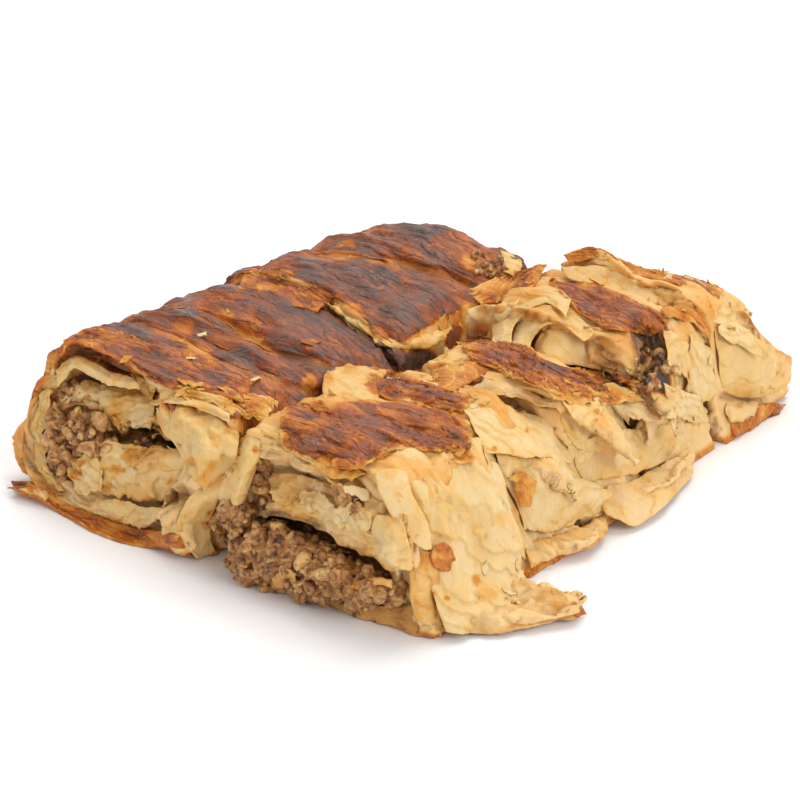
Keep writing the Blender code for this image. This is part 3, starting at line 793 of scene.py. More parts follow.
bodies = {name: body_of_dough(name) for name in FILLINGS}
for name, (points, quads, values) in bodies.items():
    print(name, "has", len(quads), "faces and tops out at", round(points[:, 2].max(), 1), "mm")

# %% [markdown]
# A bounding tree over all bodies answers where a ray meets the pie. A ray that misses takes the reach of the dough
# nearest to it.

# %% Reach along a ray
CORE_FACE_SIZE = 0.8
cores = {}
for name in FILLINGS:
    cores[name] = dense_skin(merged_copy(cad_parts[name + "_mince"].data), CORE_FACE_SIZE, 1)
whole = joined([(p, q, {}) for p, q, _ in bodies.values()] + [(p, q, {}) for p, q in cores.values()])
pie_tree = BVHTree.FromPolygons(whole[0].tolist(), whole[1].tolist())
SHORTEST_REACH = 440.0
LONGEST_REACH = 680.0
USUAL_LIFT = 0.5


def reach_of_pie(px, py):
    """How far along the ray through a picture point the pie is."""
    ray = rays((px, py))[0]
    hit = pie_tree.ray_cast(Vector(CAMERA_PLACE), Vector(ray))[0]
    if hit is None:
        steps = np.linspace(SHORTEST_REACH, LONGEST_REACH, 50)
        gaps = [pie_tree.find_nearest(Vector(CAMERA_PLACE + ray * s))[3] for s in steps]
        return steps[int(np.argmin(gaps))]
    return (np.array(hit) - CAMERA_PLACE) @ AHEAD


def placed(control):
    """A fold's control point as (picture x, picture y, reach, lift).

    It is given as (x, y), (x, y, lift), or (x, y, axis, value) for a plane of the slab.
    """
    px, py = control[:2]
    if len(control) == 4:
        axis = "xyz".index(control[2])
        return px, py, (control[3] - CAMERA_PLACE[axis]) / rays((px, py))[0][axis], 0.0
    return px, py, reach_of_pie(px, py), control[2] if len(control) == 3 else USUAL_LIFT


# %% [markdown]
# ## A sheet of dough
#
# Every fold, flap and flake is the same thing: a thin sheet through a few rows of control points. Between the rows
# runs a smooth spline surface. Its edges are torn, by letting noise shorten the surface at its border, it is
# wrinkled by noise, and it is given a thickness that thins out towards the edges, so it is a closed shell. Thinner
# sheets lie on it like roof tiles, as low steps that end in a torn edge every few millimetres.

# %% Spline weights
def spline_weights(t, count):
    """Catmull-Rom weights of count control values at the places t, from 0 to 1."""
    place = np.clip(t, 0, 1) * (count - 1)
    first = np.minimum(place.astype(int), count - 2)
    f = place - first
    cubic = [
        -0.5 * f + f**2 - 0.5 * f**3,
        1 - 2.5 * f**2 + 1.5 * f**3,
        0.5 * f + 2 * f**2 - 1.5 * f**3,
        -0.5 * f**2 + 0.5 * f**3,
    ]
    weights = np.zeros((len(t), count))
    for k in range(4):
        np.add.at(weights, (np.arange(len(t)), np.clip(first + k - 1, 0, count - 1)), cubic[k])
    return weights


def surface(rows, down, along):
    """Points of the spline surface through rows of control values, at the places (down, along)."""
    rows = np.asarray(rows, float)
    by_row = spline_weights(down, rows.shape[0])
    by_column = spline_weights(along, rows.shape[1])
    return np.einsum("nr,nc,rck->nk", by_row, by_column, rows)


def torn_profile(distance, seed):
    """How far an edge is torn back, 0 to about 1, at distances in millimetres along it."""
    line = np.stack([distance, np.full_like(distance, 3.7 * seed), np.zeros_like(distance)], axis=1)
    wide = np.abs(bumps(line, (8, 1, 1)))
    narrow = np.abs(bumps(line, (2.6, 1, 1), 3))
    return np.clip(0.1 + 0.95 * wide + 0.65 * narrow + 0.18 * bumps(line, (1.0, 1, 1), 5), 0, 1.4)


def levelled(controls, flat):
    """Controls whose reach is drawn towards the plane that fits them best, so that a sheet doesn't jump."""
    flat_controls = controls.reshape(-1, 4)
    terms = np.column_stack([flat_controls[:, :2], np.ones(len(flat_controls))])
    plane = terms @ np.linalg.lstsq(terms, flat_controls[:, 2], rcond=None)[0]
    flat_controls[:, 2] = mix(flat_controls[:, 2], plane, flat) - flat_controls[:, 3]
    return flat_controls[:, :3].reshape(controls.shape[0], controls.shape[1], 3)


# %% Thin sheets on a sheet
def plies(points, along, spacing, seed):
    """Sheets that overlap every few millimetres: their height, -0.5 to 0.5, and 1 at each torn edge."""
    warp = 0.9 * bumps(points, (10, 10, 8), seed) + 0.32 * bumps(points, (3.2, 3.2, 2.8), seed + 1)
    count = along / spacing + warp + 0.09 * bumps(points, 1.1, seed + 2)
    across = count - np.floor(count)
    return across - 0.5, smooth_step(across, 0.76, 0.98)


# %% From a surface to a closed shell
def quads_of_grid(n_down, n_along):
    """Quads between the points of a grid."""
    index = np.arange(n_down * n_along).reshape(n_down, n_along)
    corners = (index[:-1, :-1], index[1:, :-1], index[1:, 1:], index[:-1, 1:])
    return np.stack([c.ravel() for c in corners], axis=1)


def closed_shell(front, n_down, n_along):
    """Quads of a front grid, of a back grid behind it, and of the rim that joins them."""
    count = n_down * n_along
    index = np.arange(count).reshape(n_down, n_along)
    border = np.concatenate([index[:, 0], index[-1, 1:], index[-2::-1, -1], index[0, -2:0:-1]])
    following = np.roll(border, -1)
    rim = np.stack([border, border + count, following + count, following], axis=1)
    # A front whose faces were turned round needs a rim that is turned round too.
    if front[0, 0] != index[0, 0] or front[0, 1] != index[1, 0]:
        rim = rim[:, ::-1]
    return np.concatenate([front, front[:, ::-1] + count, rim])


# %% Torn edges and draping
DRAPE_SMOOTHING = 8


def torn_grid(torn, height, width, v, u, seed):
    """Where the places (v, u) of a grid lie on its surface, (down, along), once the edges are torn back."""
    top_edge = torn[0] / height * torn_profile(u * width, seed)
    low_edge = 1 - torn[1] / height * torn_profile(u * width, seed + 50)
    left_edge = torn[2] / width * torn_profile(v * height, seed + 100)
    right_edge = 1 - torn[3] / width * torn_profile(v * height, seed + 150)
    return mix(top_edge, low_edge, v), mix(left_edge, right_edge, u)


def draped_reach(seen, v, lift, n_down, n_along):
    """The reach of a sheet that follows the pie under it, evened out with its neighbours a few times."""
    reach = np.array([reach_of_pie(px, py) for px, py in seen[:, :2]]).reshape(n_down, n_along)
    for _ in range(DRAPE_SMOOTHING):
        padded = np.pad(reach, 1, mode="edge")
        around = padded[:-2, 1:-1] + padded[2:, 1:-1] + padded[1:-1, :-2] + padded[1:-1, 2:]
        reach = 0.5 * reach + 0.125 * around
    return reach.ravel() - lift * (0.25 + 0.75 * smooth_step(v, 0.0, 0.15))


# %% The sheet itself
GRAIN = 0.5
FEWEST_POINTS = 8
EDGE_WIDTH = 2.5
FRONT_OVER_TABLE = 0.35
BACK_OVER_TABLE = 0.05


def in_space(seen):
    """Slab points of (picture x, picture y, reach)."""
    return CAMERA_PLACE + rays(seen[:, :2]) * seen[:, 2:3]


def measured(controls):
    """How high and how wide a sheet is at most, in millimetres, from a coarse grid on its surface."""
    coarse = np.linspace(0, 1, 9)
    grid = in_space(surface(controls, np.repeat(coarse, 9), np.tile(coarse, 9))).reshape(9, 9, 3)
    height = np.linalg.norm(np.diff(grid, axis=0), axis=2).sum(0).max()
    width = np.linalg.norm(np.diff(grid, axis=1), axis=2).sum(1).max()
    return height, width


def sheet(rows, seed, torn=(1, 1, 1, 1), thick=0.4, wave=0.4, wave_size=(14, 5, 9), crinkle=0.35, curl=0.6,
          bake=0.08, edge_bake=0.08, mottle=0.12, stain=0.0, patches=(), drape=False, lift=0.6, flat=0.5,
          ply=(6.0, 0.5)):
    """A torn sheet of dough as (points, quads, values).

    torn says how many millimetres the edges are torn: first row, last row, row starts, row ends. wave and crinkle
    are the heights of its wrinkles, and curl is how much its edges turn up. patches are (picture x, picture y,
    radius, bake) of browned spots, and a few dark ones are painted shade. A draped sheet follows the pie under it.
    flat is how far the sheet is drawn towards a plane. ply says how far apart the thin sheets on it end, and how
    thick they are together.
    """
    controls = levelled(np.array([[placed(c) for c in row] for row in rows]), flat)
    height, width = measured(controls)
    n_down, n_along = max(FEWEST_POINTS, int(height / GRAIN)), max(FEWEST_POINTS, int(width / GRAIN))
    v, u = (a.ravel() for a in np.meshgrid(np.linspace(0, 1, n_down), np.linspace(0, 1, n_along), indexing="ij"))
    seen = surface(controls, *torn_grid(torn, height, width, v, u, seed))
    if drape:
        seen[:, 2] = draped_reach(seen, v, lift, n_down, n_along)
    points = in_space(seen)
    from_edge = np.minimum(np.minimum(v, 1 - v) * height, np.minimum(u, 1 - u) * width)
    grid_quads = quads_of_grid(n_down, n_along)
    normals = point_normals(points, grid_quads)
    if (normals @ AHEAD).mean() > 0:
        grid_quads = grid_quads[:, ::-1]
        normals = -normals
    near_edge = np.exp(-from_edge / EDGE_WIDTH)
    relief = wave * bumps(points, wave_size, seed) + 0.3 * wave * bumps(points, np.array(wave_size) / 3, seed + 1)
    relief += crinkle * (creases(points, np.array(wave_size) * 0.7, seed + 6) - 0.4)
    lean = 0.9 * math.sin(2.3 * seed)
    steps, ply_edge = plies(points, v * height * math.cos(lean) + u * width * math.sin(lean), ply[0], seed + 7)
    relief += ply[1] * steps * smooth_step(from_edge, 0.0, 1.5)
    points = points + normals * (relief + curl * near_edge * bumps(points, 5, seed + 2))[:, None]
    half = 0.5 * thick * (0.25 + 0.75 * smooth_step(from_edge, 0.0, 0.8))
    ragged = 1 + 0.7 * bumps(points, (3.5, 2.5, 2.5), seed + 9)
    tone = bake + edge_bake * near_edge * ragged
    tone += mottle * bumps(points, 7, seed + 3) * smooth_step(from_edge, 0, 1)
    tone += (0.10 if bake < 0.3 else -0.10) * ply_edge * ragged
    for px, py, radius, patch_bake in patches:
        away = from_stroke(seen[:, :2], [(px, py), (px, py)]) / radius
        away += 0.45 * bumps(points, 2.4, seed + 4) + 0.25 * bumps(points, 1.0, seed + 5)
        tone = mix(tone, patch_bake, 1 - smooth_step(away, 0.55, 1.15))
    shell = np.concatenate([points + normals * half[:, None], points - normals * half[:, None]])
    shell[:len(points), 2] = np.maximum(shell[:len(points), 2], FRONT_OVER_TABLE)
    shell[len(points):, 2] = np.maximum(shell[len(points):, 2], BACK_OVER_TABLE)
    quads = closed_shell(grid_quads, n_down, n_along)
    return shell, quads, {"bake": np.tile(tone, 2), "stain": np.full(len(shell), stain)}


# %% Put the bodies in place
for name, (points, quads, values) in bodies.items():
    piece_from(name + "_body", points, quads, values, phyllo, [name + "_pastry"])

# %% Lay a sheet on the pie
laid = []


def fold(name, rows, seed, **settings):
    """A sheet put on the pie as a piece of its own."""
    laid.append(sheet(rows, seed, **settings))
    print(name, "has", len(laid[-1][1]), "faces")
    return piece_from(name, *laid[-1], phyllo)


# %% [markdown]
# Some sheets are wrinkled alike. A size of wrinkles is how long they are along x, y and z: ridges run along the
# crust, crumpled dough is much the same all round, and a hanging sheet has creases that run down. Plies are how far
# apart the thin sheets end, and how high their steps are.

# %% Wrinkles and plies that several sheets share
RIDGED = (14, 2.4, 6)
CRUMPLED = (5, 5, 4)
HANGING = (4, 4, 12)
FEW_PLIES = (9, 0.2)
NO_PLIES = (9, 0.0)

# %% [markdown]
# ## The left front cut
#
# The top crust has puffed away from the dough under it and leaves an air pocket. Below it lie a thin pale sheet, a
# mass of soft dough, a band of mince, and a second mass whose folds bulge out. The crust underneath is thin and
# hard, and its torn tips turn up on the left.

# %% Crust rim and air pocket
fold("left_front_crust_rim", [
    [(64, 340), (94, 327), (126, 331), (158, 340), (192, 352), (226, 367), (258, 383)],
    [(60, 352, 1), (75, 340, 1), (104, 344, 1), (134, 357, 1), (168, 373, 1), (206, 384, 1), (248, 396, 1)],
    [(57, 362, "y", -0.5), (71, 345, "y", -1), (100, 350, "y", -1.5), (131, 368, "y", -1.5),
     (164, 386, "y", -1), (203, 393, 1), (246, 404, 1)],
], seed=1, torn=(3, 1.5, 1, 2), thick=0.9, wave=0.6, wave_size=RIDGED, bake=0.60, edge_bake=-0.12)
fold("left_front_pocket_sheet", [
    [(58, 372, "y", 4), (74, 357, "y", 4), (90, 361, "y", 4), (110, 371, "y", 4), (134, 377, "y", 3)],
    [(56, 380, "y", 0), (73, 363, "y", 0), (92, 369, "y", 0), (113, 380, "y", 0), (138, 383, "y", 0)],
    [(56, 392, "y", 0), (74, 372, "y", -0.5), (95, 380, "y", -0.5), (115, 388, "y", -0.5), (141, 392, "y", 0)],
], seed=2, torn=(0, 1.6, 1, 1), thick=0.35, wave=0.7, wave_size=CRUMPLED, bake=0.10, mottle=0.2)
fold("left_front_upper_dough", [
    [(60, 396), (80, 384), (102, 383), (126, 386), (150, 394)],
    [(58, 405, 1), (80, 396, 2.5), (104, 394, 3), (130, 398, 3), (156, 406, 1)],
    [(62, 411, 1), (84, 407, 2), (106, 410, 2.5), (130, 414, 2), (154, 420, 1)],
    [(70, 416), (88, 416), (110, 423), (132, 429), (152, 430)],
], seed=3, torn=(0.5, 3, 1.5, 1), wave=1.0, wave_size=CRUMPLED, bake=0.14, mottle=0.25, stain=0.2,
    ply=(3.5, 0.9), patches=[(118, 400, 8, 0.30), (64, 386, 5, 0.5)])
fold("left_front_funnel", [
    [(130, 373, 1.5), (142, 377, 2), (156, 385, 1.5)],
    [(136, 384, 3), (146, 388, 4), (156, 393, 2)],
    [(143, 398, 2), (148, 401, 2.5), (153, 401, 1.5)],
], seed=72, torn=(0.8, 1, 0.8, 0.8), wave=0.6, wave_size=(4, 4, 4), bake=0.20, ply=(3, 0.5))

# %% The folded mass under the mince
fold("left_front_lower_dough", [
    [(84, 447), (110, 440), (135, 443), (160, 445), (186, 450)],
    [(78, 464, 1), (104, 456, 3), (132, 456, 3.5), (158, 458, 3.5), (188, 456, 2)],
    [(80, 482, 1), (106, 475, 3), (136, 476, 3.5), (160, 480, 3), (182, 474, 1.5)],
    [(94, 500), (115, 498, 2), (138, 503, 2), (158, 506, 1), (174, 495, 1)],
], seed=4, torn=(2.5, 2.5, 3, 1), wave=1.3, wave_size=(6, 6, 5), bake=0.12, mottle=0.2, stain=0.08,
    ply=(4, 0.9), flat=0.8,
    patches=[(132, 456, 11, 0.34), (116, 470, 7, 0.34), (108, 486, 7, 0.38), (104, 498, 6, 0.34),
             (152, 446, 8, 0.3)])
fold("left_front_pale_fold", [
    [(70, 462, 2), (84, 453, 3), (98, 451, 3)],
    [(70, 478, 3), (86, 474, 5), (101, 470, 4.5)],
    [(80, 494, 2), (92, 496, 3.5), (102, 492, 3)],
], seed=73, torn=(1.5, 2.5, 1.5, 1), wave=1.1, wave_size=(4, 4, 4), crinkle=0.7, bake=0.07, ply=(3, 0.9),
    flat=0.8, patches=[(76, 474, 7, 0.44), (82, 464, 4, 0.40)])
fold("left_front_lower_fold", [
    [(146, 452, 2), (160, 449, 3), (178, 450, 2), (190, 456, 1)],
    [(144, 462, 3), (160, 460, 5.5), (178, 460, 5), (191, 462, 2)],
    [(146, 474, 2), (162, 474, 4.5), (178, 472, 3.5), (188, 468, 1)],
], seed=5, torn=(0.5, 1, 2, 0.3), wave=0.3, bake=0.17, ply=(6, 0.4), flat=0.8)
fold("left_front_frayed_sheet", [
    [(100, 500), (120, 499, 1.5), (142, 505, 1.5), (166, 507, 1)],
    [(98, 511, 1.5), (120, 513, 2.5), (142, 517, 2.5), (164, 516, 2)],
    [(104, 520, 1.5), (124, 527, 2.5), (142, 530, 2.5), (160, 523, 1.5)],
], seed=6, torn=(2, 2.5, 2, 2.5), wave=0.8, wave_size=CRUMPLED, curl=1.2, bake=0.07, edge_bake=0.02)
fold("left_front_side_sheets", [
    [(44, 386), (36, 408), (32, 436), (38, 464), (54, 492)],
    [(50, 388, 1), (43, 411, 1.8), (40, 441, 1.8), (46, 468, 1.8), (61, 493, 1)],
    [(56, 391, 0.5), (51, 414, 1), (49, 444, 1), (54, 470, 1), (68, 492, 0.5)],
], seed=7, torn=(0.8, 3, 1.5, 1.5), wave=0.9, wave_size=(3.5, 4, 4), crinkle=0.7, curl=0.9, bake=0.12,
    ply=(2.5, 0.8))

# %% Bottom crust and its tips
fold("left_front_bottom_crust", [
    [(30, 480, 0.3), (58, 498, 0.3), (98, 516, 0.3), (138, 527, 0.3), (177, 533, 0.3), (204, 538, 0.3)],
    [(26, 485, 0.8), (55, 505, 0.8), (94, 525, 0.8), (136, 539, 0.8), (176, 545, 0.8), (203, 549, 0.5)],
    [(28, 490, 0.6), (54, 510, "z", 0.6), (92, 531, "z", 0.6), (135, 545, "z", 0.6), (176, 551, "z", 0.6),
     (200, 557, "z", 0.6)],
], seed=8, torn=(1, 0.8, 0.5, 1), thick=0.9, wave=0.4, bake=0.54, edge_bake=-0.10, flat=0.0, ply=(4, 0.4))
fold("left_front_lower_tip", [
    [(12, 480, "z", 2.6), (32, 482, "z", 3.6), (56, 493, 1)],
    [(14, 484, "z", 1.4), (34, 490, "z", 1.8), (58, 502, 1)],
    [(20, 488, "z", 0.5), (36, 497, "z", 0.6), (60, 510, 0.6)],
], seed=9, torn=(0.4, 0.4, 0.2, 1), thick=0.8, wave=0.2, bake=0.54, edge_bake=-0.05, ply=(9, 0.1))
fold("left_front_upper_tip", [
    [(28, 414, "y", 3), (34, 416, "y", 2.5), (42, 420, 0.5)],
    [(12, 434, "y", 3), (26, 438, "y", 2), (40, 442, 0.5)],
    [(14, 452, "y", 2.5), (27, 456, "y", 1.5), (40, 460, 0.5)],
    [(24, 473, "y", 1.5), (34, 477, "y", 1), (44, 480, 0.5)],
], seed=10, torn=(0.6, 0.6, 2.6, 0.6), thick=0.7, wave=0.3, bake=0.44, edge_bake=-0.12, mottle=0.2,
    ply=(3, 0.3), flat=0.0)

# %% [markdown]
# ## Folds between the columns
#
# Where the two columns part, the dough has sagged into smooth rounded folds: a big one that leans over the mince,
# one that hangs down to the table in front, and a finger between it and the right column.

# %% Smooth folds
fold("middle_fold_edge", [
    [(150, 400), (170, 395), (190, 397), (212, 404), (230, 413)],
    [(148, 404, 2.5), (170, 405, 3.2), (192, 408, 3.5), (213, 416, 3), (230, 424, 2)],
], seed=11, torn=(0.5, 1, 1, 1), wave=0.3, bake=0.08)
fold("middle_fold", [
    [(155, 408), (178, 405), (204, 410), (222, 419), (236, 434)],
    [(157, 420, 1), (180, 421, 4), (206, 428, 5), (224, 440, 4.5), (238, 452, 0.5)],
    [(166, 436, 1), (186, 443, 4), (206, 452, 6), (222, 460, 4.5), (234, 468, 0.5)],
    [(182, 452, 1), (189, 466, 3), (198, 476, 4), (207, 484, 3), (217, 483, 0.5)],
    [(186, 464, 0.5), (192, 475, 1.5), (200, 485, 2), (208, 491, 1.5), (215, 489, 0.5)],
], seed=12, torn=(0.3, 1, 1, 0.8), wave=1.1, wave_size=(7, 5, 6), crinkle=0.6, bake=0.12, mottle=0.14,
    ply=(7, 0.4), patches=[(192, 462, 7, 0.34), (214, 440, 8, 0.24), (180, 424, 5, 0.28), (204, 482, 8, 0.30)])
fold("hanging_fold", [
    [(198, 487), (215, 478), (232, 471)],
    [(183, 505, 2), (202, 500, 4.5), (225, 490, 2)],
    [(177, 525, 2), (197, 524, 5.5), (214, 514, 2)],
    [(184, 545, 2), (199, 546, 5), (212, 540, 2)],
    [(198, 558, 1), (206, 560, 3), (220, 556, 1)],
], seed=13, torn=(0.3, 1, 0.5, 1.2), wave=0.5, wave_size=(6, 6, 12), bake=0.09,
    patches=[(214, 556, 9, 0.42), (207, 524, 6, 0.38), (212, 512, 5, 0.4)])
fold("finger_fold", [
    [(241, 438), (251, 434), (262, 440)],
    [(233, 460, 1), (246, 460, 4), (258, 462, 1)],
    [(228, 484, 1), (240, 486, 5), (250, 488, 1)],
    [(227, 500, 1), (235, 507, 3.5), (244, 502, 1)],
], seed=14, torn=(0.5, 0.8, 0.4, 0.4), wave=0.4, wave_size=(6, 6, 14), bake=0.09,
    patches=[(243, 433, 6, 0.42), (256, 450, 4, 0.45)])
fold("middle_golden_flakes", [
    [(168, 382), (195, 386), (222, 393), (250, 398), (276, 403)],
    [(172, 390, 1), (196, 396, 1.4), (222, 403, 1.4), (248, 409, 1.3), (272, 414, 1)],
    [(184, 399, 1), (206, 407, 1.2), (228, 415, 1.2), (250, 422, 1), (266, 426, 0.8)],
], seed=15, torn=(1, 3.5, 2, 1), wave=0.9, wave_size=(6, 3, 4), curl=1.2, bake=0.35, edge_bake=-0.06,
    mottle=0.3, ply=(3, 0.8))
fold("middle_golden_border", [
    [(172, 374), (200, 380), (228, 388), (256, 397), (280, 402)],
    [(176, 384, 1.6), (201, 388, 2), (227, 396, 2), (254, 404, 2), (278, 410, 1.6)],
], seed=75, torn=(0.8, 3, 1.5, 1.5), wave=0.8, wave_size=(5, 3, 4), curl=1.2, bake=0.43, edge_bake=-0.12,
    mottle=0.25, ply=(2.5, 0.6))

# %% [markdown]
# ## The front piece on the right
#
# Its crust is a patch with a golden torn border. Under it a rough slab of dough has split off, and below a dark gap
# the mince has fallen forward in a heap. On its right side one thin sheet drapes from the crust to the table and
# spreads into a foot.

# %% Crust of the front piece
fold("right_1_gold_border", [
    [(278, 428), (304, 438), (334, 452), (362, 450), (394, 444), (434, 442), (476, 444)],
    [(280, 446, 0.8), (303, 462, 0.8), (333, 479, 0.8), (363, 480, 0.8), (397, 460, 0.8), (436, 463, 0.8),
     (478, 462, 0.8)],
], seed=20, torn=(1, 3, 1, 1), thick=0.5, wave=0.5, wave_size=(6, 3, 4), curl=1.0, bake=0.45, edge_bake=-0.16,
    mottle=0.2, ply=(2.5, 0.5))
fold("right_1_crust", [
    [(284, 408), (305, 402), (335, 401), (372, 402), (410, 405), (445, 411), (470, 423)],
    [(280, 418), (305, 418), (338, 420), (375, 422), (412, 424), (448, 428), (474, 434)],
    [(278, 430), (302, 437), (334, 442), (370, 444), (404, 440), (440, 440), (473, 442)],
    [(282, 441), (304, 455), (334, 470), (362, 468), (395, 451), (432, 452), (468, 450)],
], seed=21, torn=(1, 2.2, 1.5, 3), thick=0.9, wave=0.8, wave_size=(16, 2.6, 6), bake=0.62, edge_bake=-0.32,
    drape=True, lift=1.3)

# %% Slab of dough under the crust
fold("right_1_upper_slab", [
    [(270, 472), (300, 474), (330, 484), (362, 492), (390, 500), (410, 512)],
    [(268, 484, 1.5), (298, 489, 3), (328, 500, 3), (358, 512, 3), (386, 522, 3), (412, 535, 2)],
    [(271, 496, 2.5), (300, 506, 4), (330, 521, 4), (360, 536, 4), (388, 548, 4), (415, 557, 2)],
    [(278, 505, 1), (304, 518, 1.5), (332, 534, 1.5), (360, 550, 1.5), (390, 564, 1.5), (413, 569, 0.5)],
], seed=22, torn=(1, 1.5, 1, 1), thick=0.8, wave=1.4, wave_size=CRUMPLED, crinkle=0.7, bake=0.10, mottle=0.2,
    stain=0.12, ply=(3.5, 0.9), patches=[(290, 508, 7, 0.30)])
fold("right_1_slab_sheet", [
    [(302, 486, 3.5), (326, 492, 4.5), (350, 500, 4.5), (372, 512, 4)],
    [(300, 498, 4.5), (322, 508, 6), (346, 518, 6), (370, 528, 5)],
    [(304, 508, 4.5), (322, 518, 5.5), (344, 530, 5.5), (366, 540, 4.5)],
], seed=76, torn=(2.5, 3, 2, 2), wave=1.0, wave_size=(4, 4, 4), crinkle=0.6, curl=1.3, bake=0.06, mottle=0.16,
    ply=(3, 0.8), flat=0.8)
fold("right_1_pale_lump", [
    [(364, 522, 2), (382, 516, 3), (402, 518, 3)],
    [(364, 538, 4), (384, 534, 6), (408, 538, 5)],
    [(372, 552, 4), (390, 556, 6), (412, 556, 4)],
    [(380, 560, 2), (396, 568, 3), (412, 568, 2)],
], seed=23, torn=(0.5, 0.5, 0.5, 0.5), wave=1.0, wave_size=(5, 5, 6), crinkle=0.6, bake=0.06, ply=(6, 0.7))
fold("right_1_white_flake", [
    [(338, 482, 2.5), (352, 483, 3), (368, 492, 3)],
    [(341, 491, 3), (355, 494, 3.4), (371, 500, 3.2)],
    [(344, 500, 3), (358, 505, 3.4), (372, 508, 3)],
], seed=24, torn=(1.2, 3, 1.2, 1), wave=0.5, wave_size=4, curl=0.8, bake=0.0, edge_bake=0.0, ply=NO_PLIES)
fold("right_1_shred_in_mince", [
    [(344, 588, 5.5), (358, 581, 6.2), (376, 577, 6.2), (394, 580, 5)],
    [(347, 597, 5.5), (362, 590, 6.5), (380, 585, 6.5), (392, 588, 5)],
], seed=88, torn=(0.5, 0.8, 1.5, 1.5), thick=0.5, wave=0.7, wave_size=4, bake=0.30, mottle=0.2, stain=0.25,
    ply=(3, 0.4))
fold("right_1_fat_in_mince", [
    [(272, 576, 5), (284, 569, 6), (298, 571, 5)],
    [(273, 588, 5), (286, 588, 6.5), (298, 583, 5)],
], seed=89, torn=(1, 1.2, 1, 1), thick=0.6, wave=0.8, wave_size=4, bake=0.22, mottle=0.2, stain=0.5,
    ply=(3, 0.4))
fold("right_1_flap", [
    [(374, 474, 2.5), (390, 468, 2.5), (408, 472, 2.5)],
    [(379, 493, 4), (396, 490, 4), (412, 489, 4)],
    [(391, 518, 5), (406, 514, 5), (421, 510, 5)],
    [(407, 538, 5.5), (419, 534, 5.5), (430, 529, 5.5)],
    [(425, 549, 5.5), (428, 551, 5.5), (432, 549, 5.5)],
], seed=25, torn=(0.5, 0.5, 0.8, 0.6), thick=0.3, wave=0.2, wave_size=(8, 5, 9), crinkle=0.15, curl=0.3,
    bake=0.03, ply=(9, 0.1), flat=0.9, patches=[(403, 518, 4, 0.36), (399, 495, 3, 0.24), (390, 470, 11, 0.20)])

# %% Bottom dough and the foot
fold("right_1_bottom_dough", [
    [(322, 594), (352, 600), (388, 604), (414, 600), (436, 596)],
    [(318, 602, 1), (352, 610, 1.5), (388, 617, 1.5), (415, 622, 1.5), (441, 618, 1)],
    [(314, 606, 0.5), (350, 619, 0.8), (385, 629, 0.8), (412, 638, 0.8), (442, 640, 0.5)],
], seed=26, torn=(1.5, 0.5, 1, 0.5), wave=0.8, wave_size=(7, 6, 5), bake=0.22, mottle=0.12, stain=0.35)
fold("right_1_drape", [
    [(394, 450, 1.0), (428, 449, 1.6), (458, 450, 1.6), (484, 455, 1.6), (500, 464, 1.0)],
    [(408, 486, 3.2), (434, 486, 4.4), (462, 486, 4.4), (488, 488, 4.4), (508, 495, 3.0)],
    [(426, 525, 2.4), (446, 524, 3.6), (470, 522, 3.0), (496, 524, 3.8), (518, 527, 2.4)],
    [(431, 556, 1.6), (450, 556, 2.6), (474, 554, 1.8), (500, 556, 2.6), (523, 556, 1.6)],
    [(431, 585, 1.6), (452, 586, 2.4), (478, 584, 2.0), (504, 585, 2.2), (527, 582, 1.6)],
    [(438, 608, 1.4), (462, 612, 2.0), (488, 611, 2.4), (514, 607, 2.6), (538, 601, 1.8)],
    [(446, 633, "z", 0.8), (470, 635, "z", 0.9), (496, 633, "z", 1.2), (520, 626, "z", 1.8),
     (544, 613, "z", 3.2)],
], seed=27, torn=(0.5, 1.5, 0.8, 1.5), wave=1.0, wave_size=(9, 5, 16), bake=0.05, edge_bake=0.05, mottle=0.12,
    ply=(9, 0.6), flat=0.6,
    patches=[(476, 580, 7, 0.34), (431, 594, 4, 0.4), (447, 598, 4, 0.36), (486, 596, 12, 0.22),
             (500, 520, 10, 0.18), (446, 500, 18, 0.17)])
fold("right_1_orange_flake", [
    [(434, 545, 4.4), (444, 542, 4.6), (452, 548, 4.4)],
    [(431, 557, 4.4), (444, 556, 4.8), (456, 560, 4.4)],
    [(434, 567, 4.4), (446, 572, 4.6), (455, 569, 4.4)],
], seed=86, torn=(0.4, 0.4, 0.4, 0.4), thick=0.3, wave=0.1, wave_size=4, crinkle=0.1, curl=0.1, bake=0.44,
    edge_bake=0.02, mottle=0.06, ply=NO_PLIES, flat=0.9)
fold("right_1_corner_fold", [
    [(410, 552, 2), (422, 550, 2.5), (436, 554, 1.5)],
    [(409, 576, 2.4), (423, 578, 3), (438, 580, 1.6)],
    [(410, 600, 2.4), (425, 604, 3), (441, 604, 1.6)],
    [(414, 620, 1.5), (430, 627, 2), (448, 624, 1)],
], seed=87, torn=(0.5, 1, 0.5, 0.5), wave=0.5, wave_size=(5, 5, 8), bake=0.24, mottle=0.16, stain=0.3,
    ply=FEW_PLIES, flat=0.9)
fold("right_1_crumple", [
    [(488, 574, 2.5), (508, 570, 3.2), (527, 575, 2.5)],
    [(490, 588, 3), (510, 587, 4.5), (530, 588, 3)],
    [(496, 601, 2), (514, 606, 3), (532, 601, 2)],
], seed=77, torn=(2, 2, 1.5, 1.5), wave=1.5, wave_size=(3, 3, 3), crinkle=1.0, curl=1.2, bake=0.12, stain=0.25,
    ply=(2.5, 0.8))
